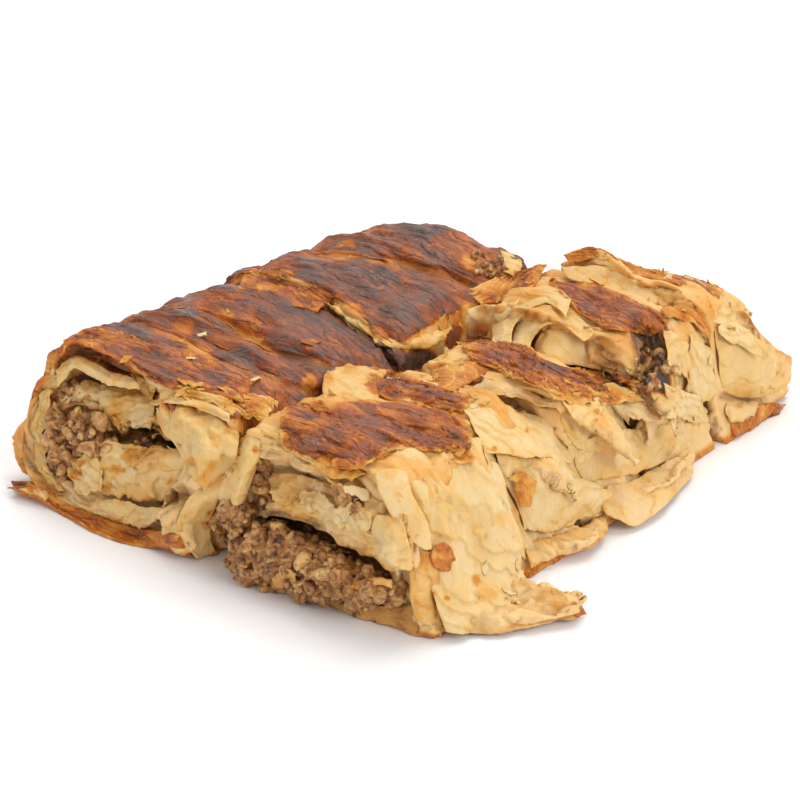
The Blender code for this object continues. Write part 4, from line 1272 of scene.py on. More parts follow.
fold("right_1_foot", [
    [(458, 606, 0), (480, 603, 0), (502, 598, 0), (528, 592), (548, 588), (571, 600)],
    [(456, 620, 0), (478, 617, 0.2), (502, 614, 0.6), (528, 608, 1.2), (552, 603, 1.2), (580, 606, 1)],
    [(456, 634, "z", 0.4), (478, 634, "z", 0.4), (502, 634, "z", 0.5), (530, 630, "z", 0.6),
     (556, 622, "z", 0.6), (586, 611, "z", 0.8)],
], seed=28, torn=(1, 1.2, 1, 0.3), thick=0.9, wave=1.0, wave_size=(7, 5, 5), crinkle=0.6, bake=0.12,
    mottle=0.18, stain=0.35, ply=(4, 0.6), flat=0.2,
    patches=[(580, 607, 13, 0.46), (560, 612, 10, 0.28), (566, 600, 6, 0.3), (520, 612, 12, 0.22)])
fold("right_1_side_slivers", [
    [(480, 446), (492, 450), (504, 460)],
    [(488, 470, 1.5), (502, 480, 2.2), (515, 492, 1.5)],
    [(496, 505, 1.5), (511, 520, 2.6), (524, 533, 2)],
    [(504, 540, 1.5), (518, 556, 2.6), (527, 566, 1.5)],
], seed=29, torn=(1, 3, 1.5, 1.8), wave=0.6, wave_size=HANGING, curl=1.2, bake=0.08, mottle=0.16)

# %% [markdown]
# ## The second and third pieces on the right
#
# They are narrow, and their right ends are stacks of pale torn sheets that hang over one another. An orange flake
# of crust sticks to one of them. Lowest, a boat-shaped sheet lies on the table.

# %% Second piece
fold("right_2_left_end", [
    [(326, 368, 0.5), (345, 362, 1), (365, 365, 1), (388, 371, 0.5)],
    [(323, 378, 1), (341, 374, 3.2), (361, 375, 3.2), (383, 382, 1)],
    [(322, 390, 1), (340, 389, 3), (359, 391, 3), (380, 394, 1)],
    [(323, 399, 0.3), (340, 402, 0.8), (358, 404, 0.8), (378, 404, 0.3)],
], seed=30, torn=(0.3, 0.3, 0.5, 0.5), wave=0.4, wave_size=(7, 5, 9), bake=0.18, mottle=0.14, ply=FEW_PLIES,
    flat=0.8, patches=[(378, 386, 14, 0.45), (350, 367, 9, 0.34), (328, 378, 7, 0.34), (346, 398, 8, 0.30)])
fold("right_2_crust", [
    [(354, 372), (379, 369), (406, 376), (432, 385), (456, 393), (474, 401)],
    [(362, 381), (384, 385), (408, 390), (432, 396), (454, 402), (470, 406)],
    [(372, 392), (390, 400), (408, 403), (430, 407), (448, 410), (466, 411)],
], seed=31, torn=(0.8, 1.5, 1, 2), thick=0.9, wave=0.6, wave_size=RIDGED, bake=0.60, edge_bake=-0.30,
    drape=True, lift=1.2)
fold("right_2_upper_sheet", [
    [(462, 410), (490, 408), (520, 412), (548, 416), (567, 432)],
    [(474, 430, 1), (500, 430, 2), (528, 432, 2.5), (554, 440, 2.5), (577, 453, 2)],
    [(484, 454, 2.5), (509, 456, 4.5), (534, 458, 5.5), (556, 462, 5.5), (570, 464, 3)],
], seed=32, torn=(0.6, 1.2, 0.6, 1.5), wave=0.6, wave_size=(7, 5, 7), bake=0.06, mottle=0.10,
    patches=[(500, 409, 6, 0.4), (493, 450, 3, 0.42), (527, 431, 3, 0.36)])
fold("right_2_middle_sheet", [
    [(490, 444, 1), (526, 444, 2), (552, 450, 2), (570, 466, 2)],
    [(496, 460, 2.5), (530, 461, 5), (556, 467, 5), (586, 479, 4)],
    [(503, 480, 3.5), (538, 482, 7), (572, 486, 6), (609, 491, 3)],
    [(516, 504, 3), (544, 508, 4.5), (575, 508, 4), (611, 498, 2.5)],
    [(522, 530, 1), (545, 534, 1.6), (572, 528, 1.6), (604, 512, 1.2)],
], seed=33, torn=(1, 2, 1, 0.8), wave=0.9, wave_size=(9, 6, 8), bake=0.05, mottle=0.14, flat=0.85, ply=(8, 0.6))
fold("right_2_orange_flake", [
    [(514, 469, 9), (525, 472, 9.8), (537, 481, 9.8)],
    [(515, 487, 8.8), (525, 490, 9.6), (535, 493, 9.6)],
    [(519, 507, 7.4), (525, 508, 8), (530, 507, 7.8)],
], seed=34, torn=(0.6, 0.6, 0.4, 0.6), thick=0.3, wave=0.2, wave_size=3, crinkle=0.1, curl=0.2, bake=0.42,
    edge_bake=-0.05, mottle=0.08, ply=NO_PLIES, flat=0.95)
fold("right_2_flange", [
    [(524, 541), (554, 535), (584, 525), (609, 513)],
    [(526, 556, 1), (556, 549, 1.2), (586, 538, 1.2), (607, 524, 1)],
    [(528, 570, 0.4), (554, 558, 0.5), (592, 547, 0.5), (603, 533, 0.5)],
], seed=35, torn=(0.8, 1, 0.6, 0.8), thick=0.8, wave=0.8, wave_size=(7, 5, 5), crinkle=0.6, bake=0.10,
    edge_bake=0.20, mottle=0.16, ply=(4, 0.7))

# %% Third piece
fold("right_3_roll", [
    [(430, 374), (446, 354), (466, 342)],
    [(436, 386, 1), (456, 368, 4), (480, 356, 1.5)],
    [(452, 393, 1), (472, 382, 2.5), (490, 370, 1)],
], seed=36, torn=(0.3, 0.4, 0.5, 0.5), wave=0.3, bake=0.40, mottle=0.16, ply=(9, 0.3))
fold("right_3_inner_sheets", [
    [(466, 392), (486, 380), (512, 386), (538, 394), (560, 402)],
    [(474, 400, 1), (494, 394, 2), (516, 398, 2), (538, 404, 2), (556, 410, 1)],
], seed=37, torn=(0.8, 1.2, 0.5, 0.8), wave=0.8, wave_size=(5, 4, 4), bake=0.10, stain=0.6)
fold("right_3_crust", [
    [(460, 342), (486, 338), (514, 340), (541, 358), (572, 369), (604, 372), (643, 383)],
    [(464, 350), (488, 350), (510, 356), (536, 370), (566, 380), (598, 382), (640, 389)],
    [(474, 362), (494, 370), (514, 380), (538, 388), (562, 396), (594, 395), (636, 394)],
], seed=38, torn=(0.8, 3, 0.8, 2), thick=0.9, wave=0.7, wave_size=RIDGED, curl=0.9, bake=0.57, edge_bake=-0.30,
    drape=True, lift=1.4)
fold("right_3_orange_border", [
    [(540, 374), (572, 380), (606, 384), (640, 389)],
    [(546, 390, 1.6), (575, 396, 2.2), (606, 398, 2.4), (644, 398, 1.8)],
    [(554, 400, 1.6), (580, 408, 2.4), (610, 406, 2.6), (648, 402, 1.8)],
], seed=78, torn=(0.6, 4, 1.5, 1), wave=0.8, wave_size=(5, 3, 4), curl=1.2, bake=0.36, edge_bake=-0.18,
    mottle=0.25, ply=(3, 0.6))
fold("right_3_flap", [
    [(556, 398), (580, 394), (607, 390)],
    [(568, 412, 2), (589, 409, 3), (608, 402, 2.5)],
    [(580, 425, 2.5), (588, 427, 3.5), (597, 421, 3)],
], seed=39, torn=(0.5, 1, 1, 0.6), wave=0.5, wave_size=(5, 4, 7), curl=1, bake=0.10,
    patches=[(605, 398, 5, 0.4), (596, 412, 4, 0.36)])
fold("right_3_pointed_sheet", [
    [(604, 390), (626, 392), (650, 397)],
    [(610, 405, 2), (634, 407, 3.5), (661, 413, 3)],
    [(627, 424, 3), (642, 424, 4), (668, 420, 3.5)],
], seed=40, torn=(0.5, 4.5, 1.2, 0.8), wave=0.6, wave_size=(6, 5, 6), curl=1, bake=0.04)
fold("right_3_hanging_sheet", [
    [(548, 404), (574, 406), (600, 412)],
    [(562, 428, 1.5), (590, 432, 2.5), (613, 434, 2)],
    [(576, 450, 1.5), (600, 455, 2.5), (618, 456, 1.5)],
], seed=41, torn=(0.5, 2.5, 1, 1), wave=0.6, wave_size=(5, 4, 8), curl=1, bake=0.09)
fold("right_3_side_dough", [
    [(580, 440, 0), (604, 432), (632, 427), (660, 424), (692, 421)],
    [(574, 462, 0), (602, 456, 0.8), (632, 452, 1.8), (662, 446, 1.8), (697, 440, 1)],
    [(584, 484, 0), (606, 480, 0.8), (634, 475, 1.8), (662, 464, 1.8), (692, 452, 1)],
], seed=42, torn=(1, 1, 1, 4), wave=0.8, wave_size=(9, 7, 7), bake=0.09, mottle=0.08)
fold("right_3_boat", [
    [(606, 486, 0.8), (634, 479, 0.8), (661, 463, 0.8), (688, 447, 0.8)],
    [(600, 502, 1.2), (634, 500, 1), (666, 483, 1), (695, 458, 1.2)],
    [(606, 513, 2.5), (633, 527, 3), (662, 509, 3), (692, 476, 2.5)],
], seed=43, torn=(1, 0.8, 1, 1), thick=0.7, wave=0.5, wave_size=(9, 6, 5), bake=0.09, edge_bake=0.05)

# %% [markdown]
# ## The two pieces at the back
#
# The fourth piece shows the roll end-on: sheets wound round like a snail's shell, beside a dark hollow where the
# mince sits; the hollow is pressed in, and painted shade darkens it and the sheet beside it. The last one has a
# high crust ridge and ends in a big smooth block of folded dough.

# %% Fourth piece
fold("right_4_narrow_crust", [
    [(466, 291), (492, 281), (516, 272), (535, 267), (548, 265)],
    [(472, 298, 1), (494, 290, 1), (515, 281, 1), (531, 277, 1), (543, 272, 1)],
    [(482, 304, 1), (500, 303, 1), (518, 296, 1), (530, 288, 1), (539, 280, 1)],
], seed=50, torn=(0.5, 1.2, 0.5, 1.8), thick=0.8, wave=0.5, bake=0.48, edge_bake=-0.16, mottle=0.2,
    ply=(3, 0.4))
fold("right_4_left_dough", [
    [(458, 313), (480, 305), (502, 304), (520, 298)],
    [(456, 324, 1), (478, 319, 2.2), (498, 317, 2.2), (515, 310, 1)],
    [(470, 338, 0.6), (482, 336, 1), (496, 331, 1), (503, 325, 0.5)],
], seed=51, torn=(0.6, 1, 1, 0.8), wave=0.6, wave_size=CRUMPLED, bake=0.07)
fold("right_4_outer_wrap", [
    [(492, 350), (493, 320), (510, 296), (540, 286), (558, 290), (572, 299)],
    [(503, 352, 1), (503, 323, 1.6), (519, 303, 2), (542, 294, 2), (557, 299, 1.8), (569, 309, 1.2)],
    [(513, 354, 1.6), (513, 328, 2.6), (527, 311, 3), (545, 303, 3), (557, 308, 2.4), (566, 318, 1.2)],
], seed=52, torn=(0.4, 0.4, 1, 1), wave=0.3, crinkle=0.2, bake=0.10, ply=FEW_PLIES, flat=0.8)
fold("right_4_inner_wrap", [
    [(512, 360, 0), (512, 335, 0), (526, 314, 0), (550, 305, 0), (576, 314, 0), (596, 333, 0)],
    [(522, 362, 0.8), (522, 338, 1), (533, 322, 1.2), (552, 314, 1.2), (572, 321, 1), (590, 338, 0.4)],
    [(531, 363, 1.2), (531, 344, 1.8), (541, 330, 2.2), (555, 323, 2.2), (569, 329, 1.8), (584, 343, 0.8)],
], seed=53, torn=(0.4, 0.4, 1, 1), wave=0.3, crinkle=0.2, bake=0.12, ply=FEW_PLIES, flat=0.8)
fold("right_4_snail_centre", [
    [(540, 334, 0), (558, 325, 0), (580, 331, 0), (602, 345, 0)],
    [(534, 349, 0.4), (556, 342, 2.2), (578, 347, 2.2), (604, 358, 0.8)],
    [(540, 366, 0.4), (560, 364, 1.6), (580, 366, 1.6), (602, 372, 0.6)],
], seed=54, torn=(0.4, 0.4, 0.5, 0.8), wave=0.4, wave_size=7, bake=0.09, ply=FEW_PLIES, flat=0.8)
# Painted shade: the wide dark patch at its right end and its strong meat-juice tone stand for the shadow falling
# into the hollow beside it; the small orange patch is a real browned spot.
fold("right_4_beside_snail", [
    [(582, 324, 0), (606, 329, 1.6), (624, 334, 0.6), (644, 338, 0.3)],
    [(586, 344, 0.2), (610, 348, 1.6), (626, 351, 0.5), (644, 354, 0.2)],
    [(590, 366, 0), (612, 370, 1), (628, 373, 0.4), (642, 376, 0.2)],
], seed=55, torn=(0.8, 1.5, 0.8, 3), wave=0.8, wave_size=5, bake=0.24, mottle=0.2, stain=0.9, flat=0.95,
    patches=[(640, 352, 22, 0.74), (598, 352, 7, 0.40)])
fold("right_4_crust", [
    [(548, 282), (570, 282), (600, 286), (630, 300), (658, 313), (670, 322)],
    [(557, 292), (577, 298), (602, 306), (626, 316), (648, 324), (662, 330)],
    [(566, 302), (586, 318), (604, 330), (622, 333), (636, 333), (652, 337)],
], seed=56, torn=(0.6, 1.6, 0.8, 1), thick=0.9, wave=0.6, wave_size=RIDGED, bake=0.60, edge_bake=-0.2,
    drape=True, lift=1.2)
fold("right_4_crust_flake", [
    [(660, 308), (684, 306), (708, 324)],
    [(664, 320, 1.5), (688, 322, 2.5), (709, 340, 1.5)],
], seed=57, torn=(0.8, 1.5, 0.8, 0.5), thick=0.7, wave=0.6, wave_size=(6, 3, 4), bake=0.50, edge_bake=-0.14)
fold("right_4_fringe_left", [
    [(664, 330), (678, 332), (692, 338)],
    [(666, 352, 1.5), (681, 356, 2.5), (694, 362, 1.5)],
    [(668, 378, 1.5), (682, 384, 2.5), (694, 390, 1.5)],
], seed=58, torn=(0.8, 4, 1, 1), wave=0.7, wave_size=HANGING, curl=1.2, bake=0.05)
fold("right_4_fringe_right", [
    [(688, 332), (700, 338), (712, 348)],
    [(688, 362, 2), (702, 370, 3), (716, 376, 1.5)],
    [(684, 394, 1.5), (700, 404, 2.5), (716, 402, 1.5)],
], seed=59, torn=(0.8, 4, 1, 1), wave=0.7, wave_size=HANGING, curl=1.2, bake=0.06)
fold("right_4_low_fringe", [
    [(662, 382, 1), (680, 388, 1.5), (700, 396, 1)],
    [(668, 400, 1.5), (686, 408, 3), (704, 412, 1.5)],
    [(676, 418, 1), (692, 424, 2), (706, 424, 1)],
], seed=60, torn=(1, 3, 1, 1), wave=0.8, wave_size=(4, 4, 7), curl=1.2, bake=0.04)

# %% Last piece
fold("right_5_face_dough", [
    [(560, 268), (600, 266), (644, 280), (690, 292), (726, 303)],
    [(570, 280, 1), (610, 282, 2), (652, 296, 2), (695, 308, 2), (737, 318, 1)],
    [(604, 290, 0.5), (635, 300, 1), (668, 309, 1), (706, 322, 1), (746, 334, 0.5)],
], seed=61, torn=(0.5, 1, 0.5, 1), wave=0.7, wave_size=(8, 5, 5), bake=0.12, stain=0.25)
fold("right_5_crust_ridge", [
    [(563, 255, 1), (592, 247, 1), (616, 259, 1), (642, 268, 1), (672, 274, 1), (700, 280, 1), (724, 290, 1)],
    [(567, 260, 1), (596, 252, 1.2), (620, 265, 1.2), (646, 273, 1.2), (672, 279, 1.2), (699, 286, 1.2),
     (722, 295, 1)],
    [(573, 264, 0.8), (600, 258, 1), (624, 271, 1), (648, 278, 1), (672, 284, 1), (699, 291, 1),
     (720, 299, 0.8)],
], seed=62, torn=(0.3, 1, 0.5, 0.6), thick=0.8, wave=0.4, wave_size=(12, 2.4, 4), bake=0.54, edge_bake=-0.14,
    mottle=0.2, ply=(2.5, 0.4))
fold("right_5_end_fold", [
    [(714, 328), (730, 323), (748, 329), (770, 345), (791, 358)],
    [(717, 350, 2), (735, 347, 4), (755, 352, 4.5), (775, 361, 3), (793, 368, 1)],
    [(719, 374, 2), (738, 377, 4.5), (758, 381, 4.5), (776, 383, 2.5), (790, 382, 1)],
    [(723, 392, 1), (740, 398, 2), (758, 398, 2), (771, 394, 1.5), (780, 390, 0.5)],
], seed=63, torn=(0.8, 0.5, 0.3, 0.5), wave=0.4, wave_size=12, bake=0.12, mottle=0.06)
fold("right_5_end_flap", [
    [(716, 326, 3), (734, 322, 4), (750, 328, 4)],
    [(720, 336, 4), (737, 338, 6), (756, 346, 6)],
    [(738, 344, 5.5), (750, 352, 6.5), (762, 360, 6)],
], seed=64, torn=(0.8, 1, 0.8, 0.6), wave=0.4, wave_size=8, curl=0.9, bake=0.03)
fold("right_5_low_lumps", [
    [(726, 400, 1), (742, 402, 1.5), (760, 402, 1)],
    [(726, 412, 2), (744, 410, 3.5), (760, 408, 1.5)],
    [(730, 424, 1), (746, 420, 1.5), (758, 416, 0.8)],
], seed=65, torn=(1, 1, 1, 1), wave=1.0, wave_size=4, bake=0.05)
fold("right_5_base_crust", [
    [(728, 410, 0.5), (748, 405, 0.8), (768, 402, 0.8), (787, 404, 0.5)],
    [(730, 423, 0.8), (748, 418, 1.5), (766, 413, 1.2), (780, 411, 0.8)],
    [(734, 438, 0.4), (750, 433, 0.4), (765, 425, 0.4), (774, 418, 0.4)],
], seed=66, torn=(1, 0.8, 0.8, 1), thick=0.8, wave=0.8, wave_size=(5, 4, 4), bake=0.40, edge_bake=0.10,
    mottle=0.2, ply=(3, 0.6), flat=0.8)

# %% [markdown]
# ## The left column's back ridges
#
# The fourth ridge overhangs a dark crevice, with a pale lip of dough under its crust. The last ridge is broken off
# on the right and shows mince and dough.

# %% Lip of the fourth ridge
fold("left_back_lip", [
    [(316, 297), (338, 306), (364, 318), (392, 330), (420, 334), (454, 324)],
    [(321, 301, 1.2), (341, 313, 1.8), (364, 327, 1.8), (390, 339, 1.8), (418, 343, 1.8), (450, 333, 1)],
    [(326, 305, 0.5), (344, 319, 1), (364, 333, 1), (388, 346, 1), (414, 351, 0.8), (446, 341, 0.5)],
], seed=70, torn=(0.5, 1.6, 1, 1), wave=0.9, wave_size=(5, 4, 4), curl=0.9, bake=0.15)
fold("left_back_broken_end", [
    [(500, 250, 0.8), (512, 253, 1), (523, 262, 0.8)],
    [(502, 262, 2), (513, 266, 3), (521, 270, 1.5)],
    [(500, 274, 1), (509, 277, 1.5), (517, 278, 0.8)],
], seed=71, torn=(0.5, 1, 0.8, 0.8), wave=0.6, wave_size=5, bake=0.09)
fold("left_back_front_crust", [
    [(248, 270, 0.3), (268, 267, 0.6), (294, 272, 0.6), (316, 283, 0.6), (342, 297, 0.6)],
    [(242, 281, 0.3), (264, 280, 1.0), (290, 286, 1.0), (308, 295, 1.0), (328, 304, 0.8)],
    [(236, 291, 0.2), (260, 294, 0.6), (283, 301, 0.6), (300, 308, 0.6), (318, 312, 0.6)],
], seed=79, torn=(0.8, 0.8, 0.4, 1.5), thick=0.9, wave=0.5, wave_size=(14, 2.4, 5), bake=0.54, edge_bake=-0.08,
    mottle=0.2, ply=(3, 0.4), flat=0.4)

# %% Small white flakes on the left crust
for number, (px, py) in enumerate([(191, 358), (202, 336), (255, 380)]):
    fold(f"white_flake_{number}", [
        [(px - 6, py, 0.9), (px, py - 3, 1.2), (px + 7, py - 3, 0.9)],
        [(px - 5, py + 2, 0.9), (px + 1, py + 1, 1.3), (px + 6, py, 0.9)],
    ], seed=80 + number, torn=(0.4, 0.6, 0.6, 0.6), thick=0.2, wave=0.3, wave_size=2, bake=0.0, edge_bake=0.0,
        ply=NO_PLIES)

# %% [markdown]
# ## Mince
#
# Mince is a heap of lumps that stick together. It is made in three layers. Geometry Nodes first strew lumps over
# the ends of each mince solid, and more lumps are dropped where the photograph shows the mince fallen forward. A
# voxel remesh then melts the lumps and the solid into one skin, and noise roughens it. Last, loose fine crumbs are
# strewn on top and stay separate.

# %% Strewing with Geometry Nodes
def strewing_tree():
    """A node tree that strews copies of a shape over the faces it gets."""
    tree = bpy.data.node_groups.new("strewing", "GeometryNodeTree")
    sockets = [
        ("Surface", "NodeSocketGeometry"),
        ("Per Square Metre", "NodeSocketFloat"),
        ("Smallest", "NodeSocketFloat"),
        ("Largest", "NodeSocketFloat"),
        ("Tumble", "NodeSocketFloat"),
        ("Tone Spread", "NodeSocketFloat"),
        ("Seed", "NodeSocketInt"),
        ("Shape", "NodeSocketObject"),
        ("Material", "NodeSocketMaterial"),
    ]
    for name, kind in sockets:
        tree.interface.new_socket(name=name, in_out="INPUT", socket_type=kind)
    tree.interface.new_socket(name="Strewn", in_out="OUTPUT", socket_type="NodeSocketGeometry")
    given = add_node(tree, "NodeGroupInput").outputs
    spots = add_node(tree, "GeometryNodeDistributePointsOnFaces")
    feed(tree, given["Surface"], spots.inputs["Mesh"])
    feed(tree, given["Per Square Metre"], spots.inputs["Density"])
    feed(tree, given["Seed"], spots.inputs["Seed"])
    # Each copy turns freely about the face's normal, and Tumble says how far it may tip over.
    wander = add_node(tree, "FunctionNodeRandomValue", data_type="FLOAT_VECTOR")
    wander.inputs["Min"].default_value = (-1.0, -1.0, -1.0)
    wander.inputs["Max"].default_value = (1.0, 1.0, 1.0)
    feed(tree, given["Seed"], wander.inputs["Seed"])
    widest = add_node(tree, "ShaderNodeCombineXYZ")
    feed(tree, given["Tumble"], widest.inputs["X"])
    feed(tree, given["Tumble"], widest.inputs["Y"])
    widest.inputs["Z"].default_value = math.pi
    angles = add_node(tree, "ShaderNodeVectorMath", operation="MULTIPLY")
    feed(tree, wander.outputs[0], angles.inputs[0])
    feed(tree, widest.outputs[0], angles.inputs[1])
    turn = add_node(tree, "FunctionNodeRotateRotation", rotation_space="LOCAL")
    feed(tree, spots.outputs["Rotation"], turn.inputs["Rotation"])
    feed(tree, angles.outputs[0], turn.inputs["Rotate By"])
    size = add_node(tree, "FunctionNodeRandomValue", data_type="FLOAT")
    feed(tree, given["Smallest"], size.inputs[2])
    feed(tree, given["Largest"], size.inputs[3])
    feed(tree, given["Seed"], size.inputs["Seed"])
    shape = add_node(tree, "GeometryNodeObjectInfo")
    feed(tree, given["Shape"], shape.inputs["Object"])
    copies = add_node(tree, "GeometryNodeInstanceOnPoints")
    feed(tree, spots.outputs["Points"], copies.inputs["Points"])
    feed(tree, shape.outputs["Geometry"], copies.inputs["Instance"])
    feed(tree, turn.outputs[0], copies.inputs["Rotation"])
    feed(tree, size.outputs[1], copies.inputs["Scale"])
    tone = add_node(tree, "FunctionNodeRandomValue", data_type="FLOAT")
    feed(tree, maths(tree, "MULTIPLY", given["Tone Spread"], -1.0), tone.inputs[2])
    feed(tree, given["Tone Spread"], tone.inputs[3])
    feed(tree, maths(tree, "ADD", given["Seed"], 5.0), tone.inputs["Seed"])
    toned = add_node(tree, "GeometryNodeStoreNamedAttribute", data_type="FLOAT", domain="INSTANCE")
    toned.inputs["Name"].default_value = "tone"
    feed(tree, copies.outputs[0], toned.inputs["Geometry"])
    feed(tree, tone.outputs[1], toned.inputs["Value"])
    real = add_node(tree, "GeometryNodeRealizeInstances")
    feed(tree, toned.outputs[0], real.inputs[0])
    dressed = add_node(tree, "GeometryNodeSetMaterial")
    feed(tree, real.outputs[0], dressed.inputs["Geometry"])
    feed(tree, given["Material"], dressed.inputs["Material"])
    feed(tree, dressed.outputs[0], add_node(tree, "NodeGroupOutput").inputs[0])
    return tree


strewing = strewing_tree()
print("the strewing tree has", len(strewing.nodes), "nodes")

# %% Use the strewing tree
SQUARE_CM_IN_A_SQUARE_METRE = 10000.0
LOWEST_BIT = 0.1 * MM


def strewn(name, points, quads, shape, per_square_cm, smallest, largest, seed, material, tumble=math.pi,
           spread=0.0):
    """A plain mesh of copies of a shape, strewn over some faces; smallest and largest are scales of the shape."""
    surface_object = bpy.data.objects.new(name, mesh_from(name + "_ground", points, quads, {}))
    bpy.context.scene.collection.objects.link(surface_object)
    modifier = surface_object.modifiers.new("strewing", "NODES")
    modifier.node_group = strewing
    by_name = {item.name: item.identifier for item in strewing.interface.items_tree if item.in_out == "INPUT"}
    modifier[by_name["Per Square Metre"]] = per_square_cm * SQUARE_CM_IN_A_SQUARE_METRE
    modifier[by_name["Smallest"]] = smallest
    modifier[by_name["Largest"]] = largest
    modifier[by_name["Tumble"]] = tumble
    modifier[by_name["Tone Spread"]] = spread
    modifier[by_name["Seed"]] = seed
    modifier[by_name["Shape"]] = shape
    modifier[by_name["Material"]] = material
    bpy.context.view_layer.update()
    made = bpy.data.meshes.new_from_object(surface_object.evaluated_get(bpy.context.evaluated_depsgraph_get()))
    bpy.data.objects.remove(surface_object)
    places = np.empty(3 * len(made.vertices))
    made.vertices.foreach_get("co", places)
    places[2::3] = np.maximum(places[2::3], LOWEST_BIT)
    made.vertices.foreach_set("co", places)
    made.name = name
    return made


# %% The shape of one lump
LUMP_SIDES = (1.25, 0.95, 0.75)


def lump_object(name, seed):
    """An irregular lump about a millimetre in radius, used only as a shape to copy."""
    work = bmesh.new()
    bmesh.ops.create_icosphere(work, subdivisions=2, radius=MM)
    places = np.array([v.co[:] for v in work.verts]) / MM
    push = 1 + 0.45 * bumps(places, 0.9, seed)
    for vert, place, scale in zip(work.verts, places, push):
        vert.co = Vector(place * LUMP_SIDES) * scale * MM
    data = bpy.data.meshes.new(name)
    work.to_mesh(data)
    work.free()
    return bpy.data.objects.new(name, data)


lump = lump_object("lump", 3)
chunk = lump_object("chunk", 5)
crumb = lump_object("crumb", 8)
lump_points = np.array([v.co[:] for v in lump.data.vertices]) / MM
lump_faces = [tuple(face.vertices) for face in lump.data.polygons]
print("a lump has", len(lump_faces), "faces")

# %% Where the mince has fallen, as areas of the picture
FALLEN = {
    "left_front": [
        dict(area=[(54, 409), (76, 412), (100, 418), (112, 430), (104, 446), (84, 453), (64, 467), (47, 466),
                   (50, 436)],
             count=95, small=0.8, large=1.9, lift=2.6),
        dict(area=[(52, 462), (66, 462), (70, 480), (58, 482)], count=12, small=0.6, large=1.2, lift=1.0),
        dict(area=[(58, 378), (74, 374), (80, 390), (62, 396)], count=14, small=0.6, large=1.2, lift=1.0),
    ],
    "right_1": [
        dict(area=[(218, 513), (240, 505), (270, 521), (310, 545), (350, 563), (385, 573), (404, 583), (398, 599),
                   (362, 606), (330, 600), (293, 597), (262, 588), (240, 571), (222, 545)],
             count=230, small=0.8, large=2.2, lift=4.0),
        dict(area=[(256, 463), (271, 462), (272, 506), (257, 508)], count=26, small=0.7, large=1.6, lift=1.4),
        dict(area=[(316, 486), (345, 484), (366, 502), (354, 520), (325, 510)],
             count=22, small=0.5, large=1.0, lift=2.6),
    ],
    "right_4": [
        dict(area=[(632, 350), (648, 346), (664, 350), (670, 364), (666, 384), (652, 396), (636, 384)],
             count=44, small=0.6, large=1.3, lift=0.5),
    ],
    "left_back": [
        dict(area=[(476, 254), (490, 249), (502, 258), (503, 271), (490, 280), (476, 275)],
             count=34, small=0.5, large=1.1, lift=0.9),
    ],
}


def inside_area(places, area):
    """Which places lie inside a closed area."""
    area = np.asarray(area, float)
    inside = np.zeros(len(places), bool)
    for a, b in zip(area, np.roll(area, -1, axis=0)):
        spans = (a[1] > places[:, 1]) != (b[1] > places[:, 1])
        crossing = (b[0] - a[0]) * (places[:, 1] - a[1]) / (b[1] - a[1] + NO_LENGTH) + a[0]
        inside ^= spans & (places[:, 0] < crossing)
    return inside


# %% Drop lumps
DRAWN_AT_ONCE = 400


def fallen_lumps(heap, random):
    """Slab points and faces of lumps dropped over an area of the picture."""
    area = np.array(heap["area"], float)
    spots = np.empty((0, 2))
    while len(spots) < heap["count"]:
        drawn = random.uniform(area.min(0), area.max(0), (DRAWN_AT_ONCE, 2))
        spots = np.concatenate([spots, drawn[inside_area(drawn, area)]])
    points, faces = [], []
    for px, py in spots[:heap["count"]]:
        ray = rays((px, py))[0]
        hit = pie_tree.ray_cast(Vector(CAMERA_PLACE), Vector(ray))[0]
        if hit is None:
            continue
        place = np.array(hit) - ray * random.uniform(-0.3, heap["lift"])
        turn = np.linalg.qr(random.normal(size=(3, 3)))[0]
        size = random.uniform(heap["small"], heap["large"]) * random.uniform(0.7, 1.4, 3)
        faces += [tuple(i + len(points) * len(lump_points) for i in face) for face in lump_faces]
        points.append((lump_points * size) @ turn + place)
    return np.concatenate(points), faces


# %% [markdown]
# Where a dark gap runs between the mince and the dough over it, the strokes of the gap press the mince in too.

# %% Dark gaps that reach into the mince
GAPS = {
    "left_front": PRESSED["left_front"],
    "right_1": [([(252, 503), (290, 521), (330, 543), (370, 560), (412, 575)], 6.0, 7.0)],
    "right_4": [([(648, 330), (654, 348)], 12.0, 8.0)],
}

# %% Melt the lumps together
FINE_FACE_SIZE = 0.45
COARSE_FACE_SIZE = 0.6


def heap_of_mince(name, seed):
    """The mince of one piece: its solid, strewn and fallen lumps, melted into one rough skin."""
    points, quads = cores[name]
    normals = point_normals(points, quads)
    at_ends = np.abs(normals[quads[:, 0], 1]) > 0.4
    lumps = strewn(name, points, quads[at_ends], lump, per_square_cm=14.0, smallest=1.0, largest=2.2, seed=seed,
                   material=mince)
    work = bmesh.new()
    work.from_mesh(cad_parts[name + "_mince"].data)
    work.from_mesh(lumps)
    random = np.random.default_rng(seed)
    for heap in FALLEN.get(name, ()):
        spots, faces = fallen_lumps(heap, random)
        verts = [work.verts.new(place) for place in in_scene(spots).tolist()]
        for face in faces:
            work.faces.new([verts[i] for i in face])
    melted = bpy.data.meshes.new(name)
    work.to_mesh(melted)
    work.free()
    points, quads = dense_skin(melted, FINE_FACE_SIZE if name in FALLEN else COARSE_FACE_SIZE, 1)
    normals = point_normals(points, quads)
    rough = 0.65 * bumps(points, 2.6, seed) + 0.40 * bumps(points, (1.2, 1.6, 1.0), seed + 1)
    rough += 0.9 * bumps(points, 6.0, seed + 2)
    points = points + normals * rough[:, None]
    facing = smooth_step(-(normals @ AHEAD), 0.0, 0.35)
    points, _ = pressed_in(points, in_picture(points), facing, GAPS.get(name, ()))
    points[:, 2] = np.maximum(points[:, 2], 0.1)
    return points, quads


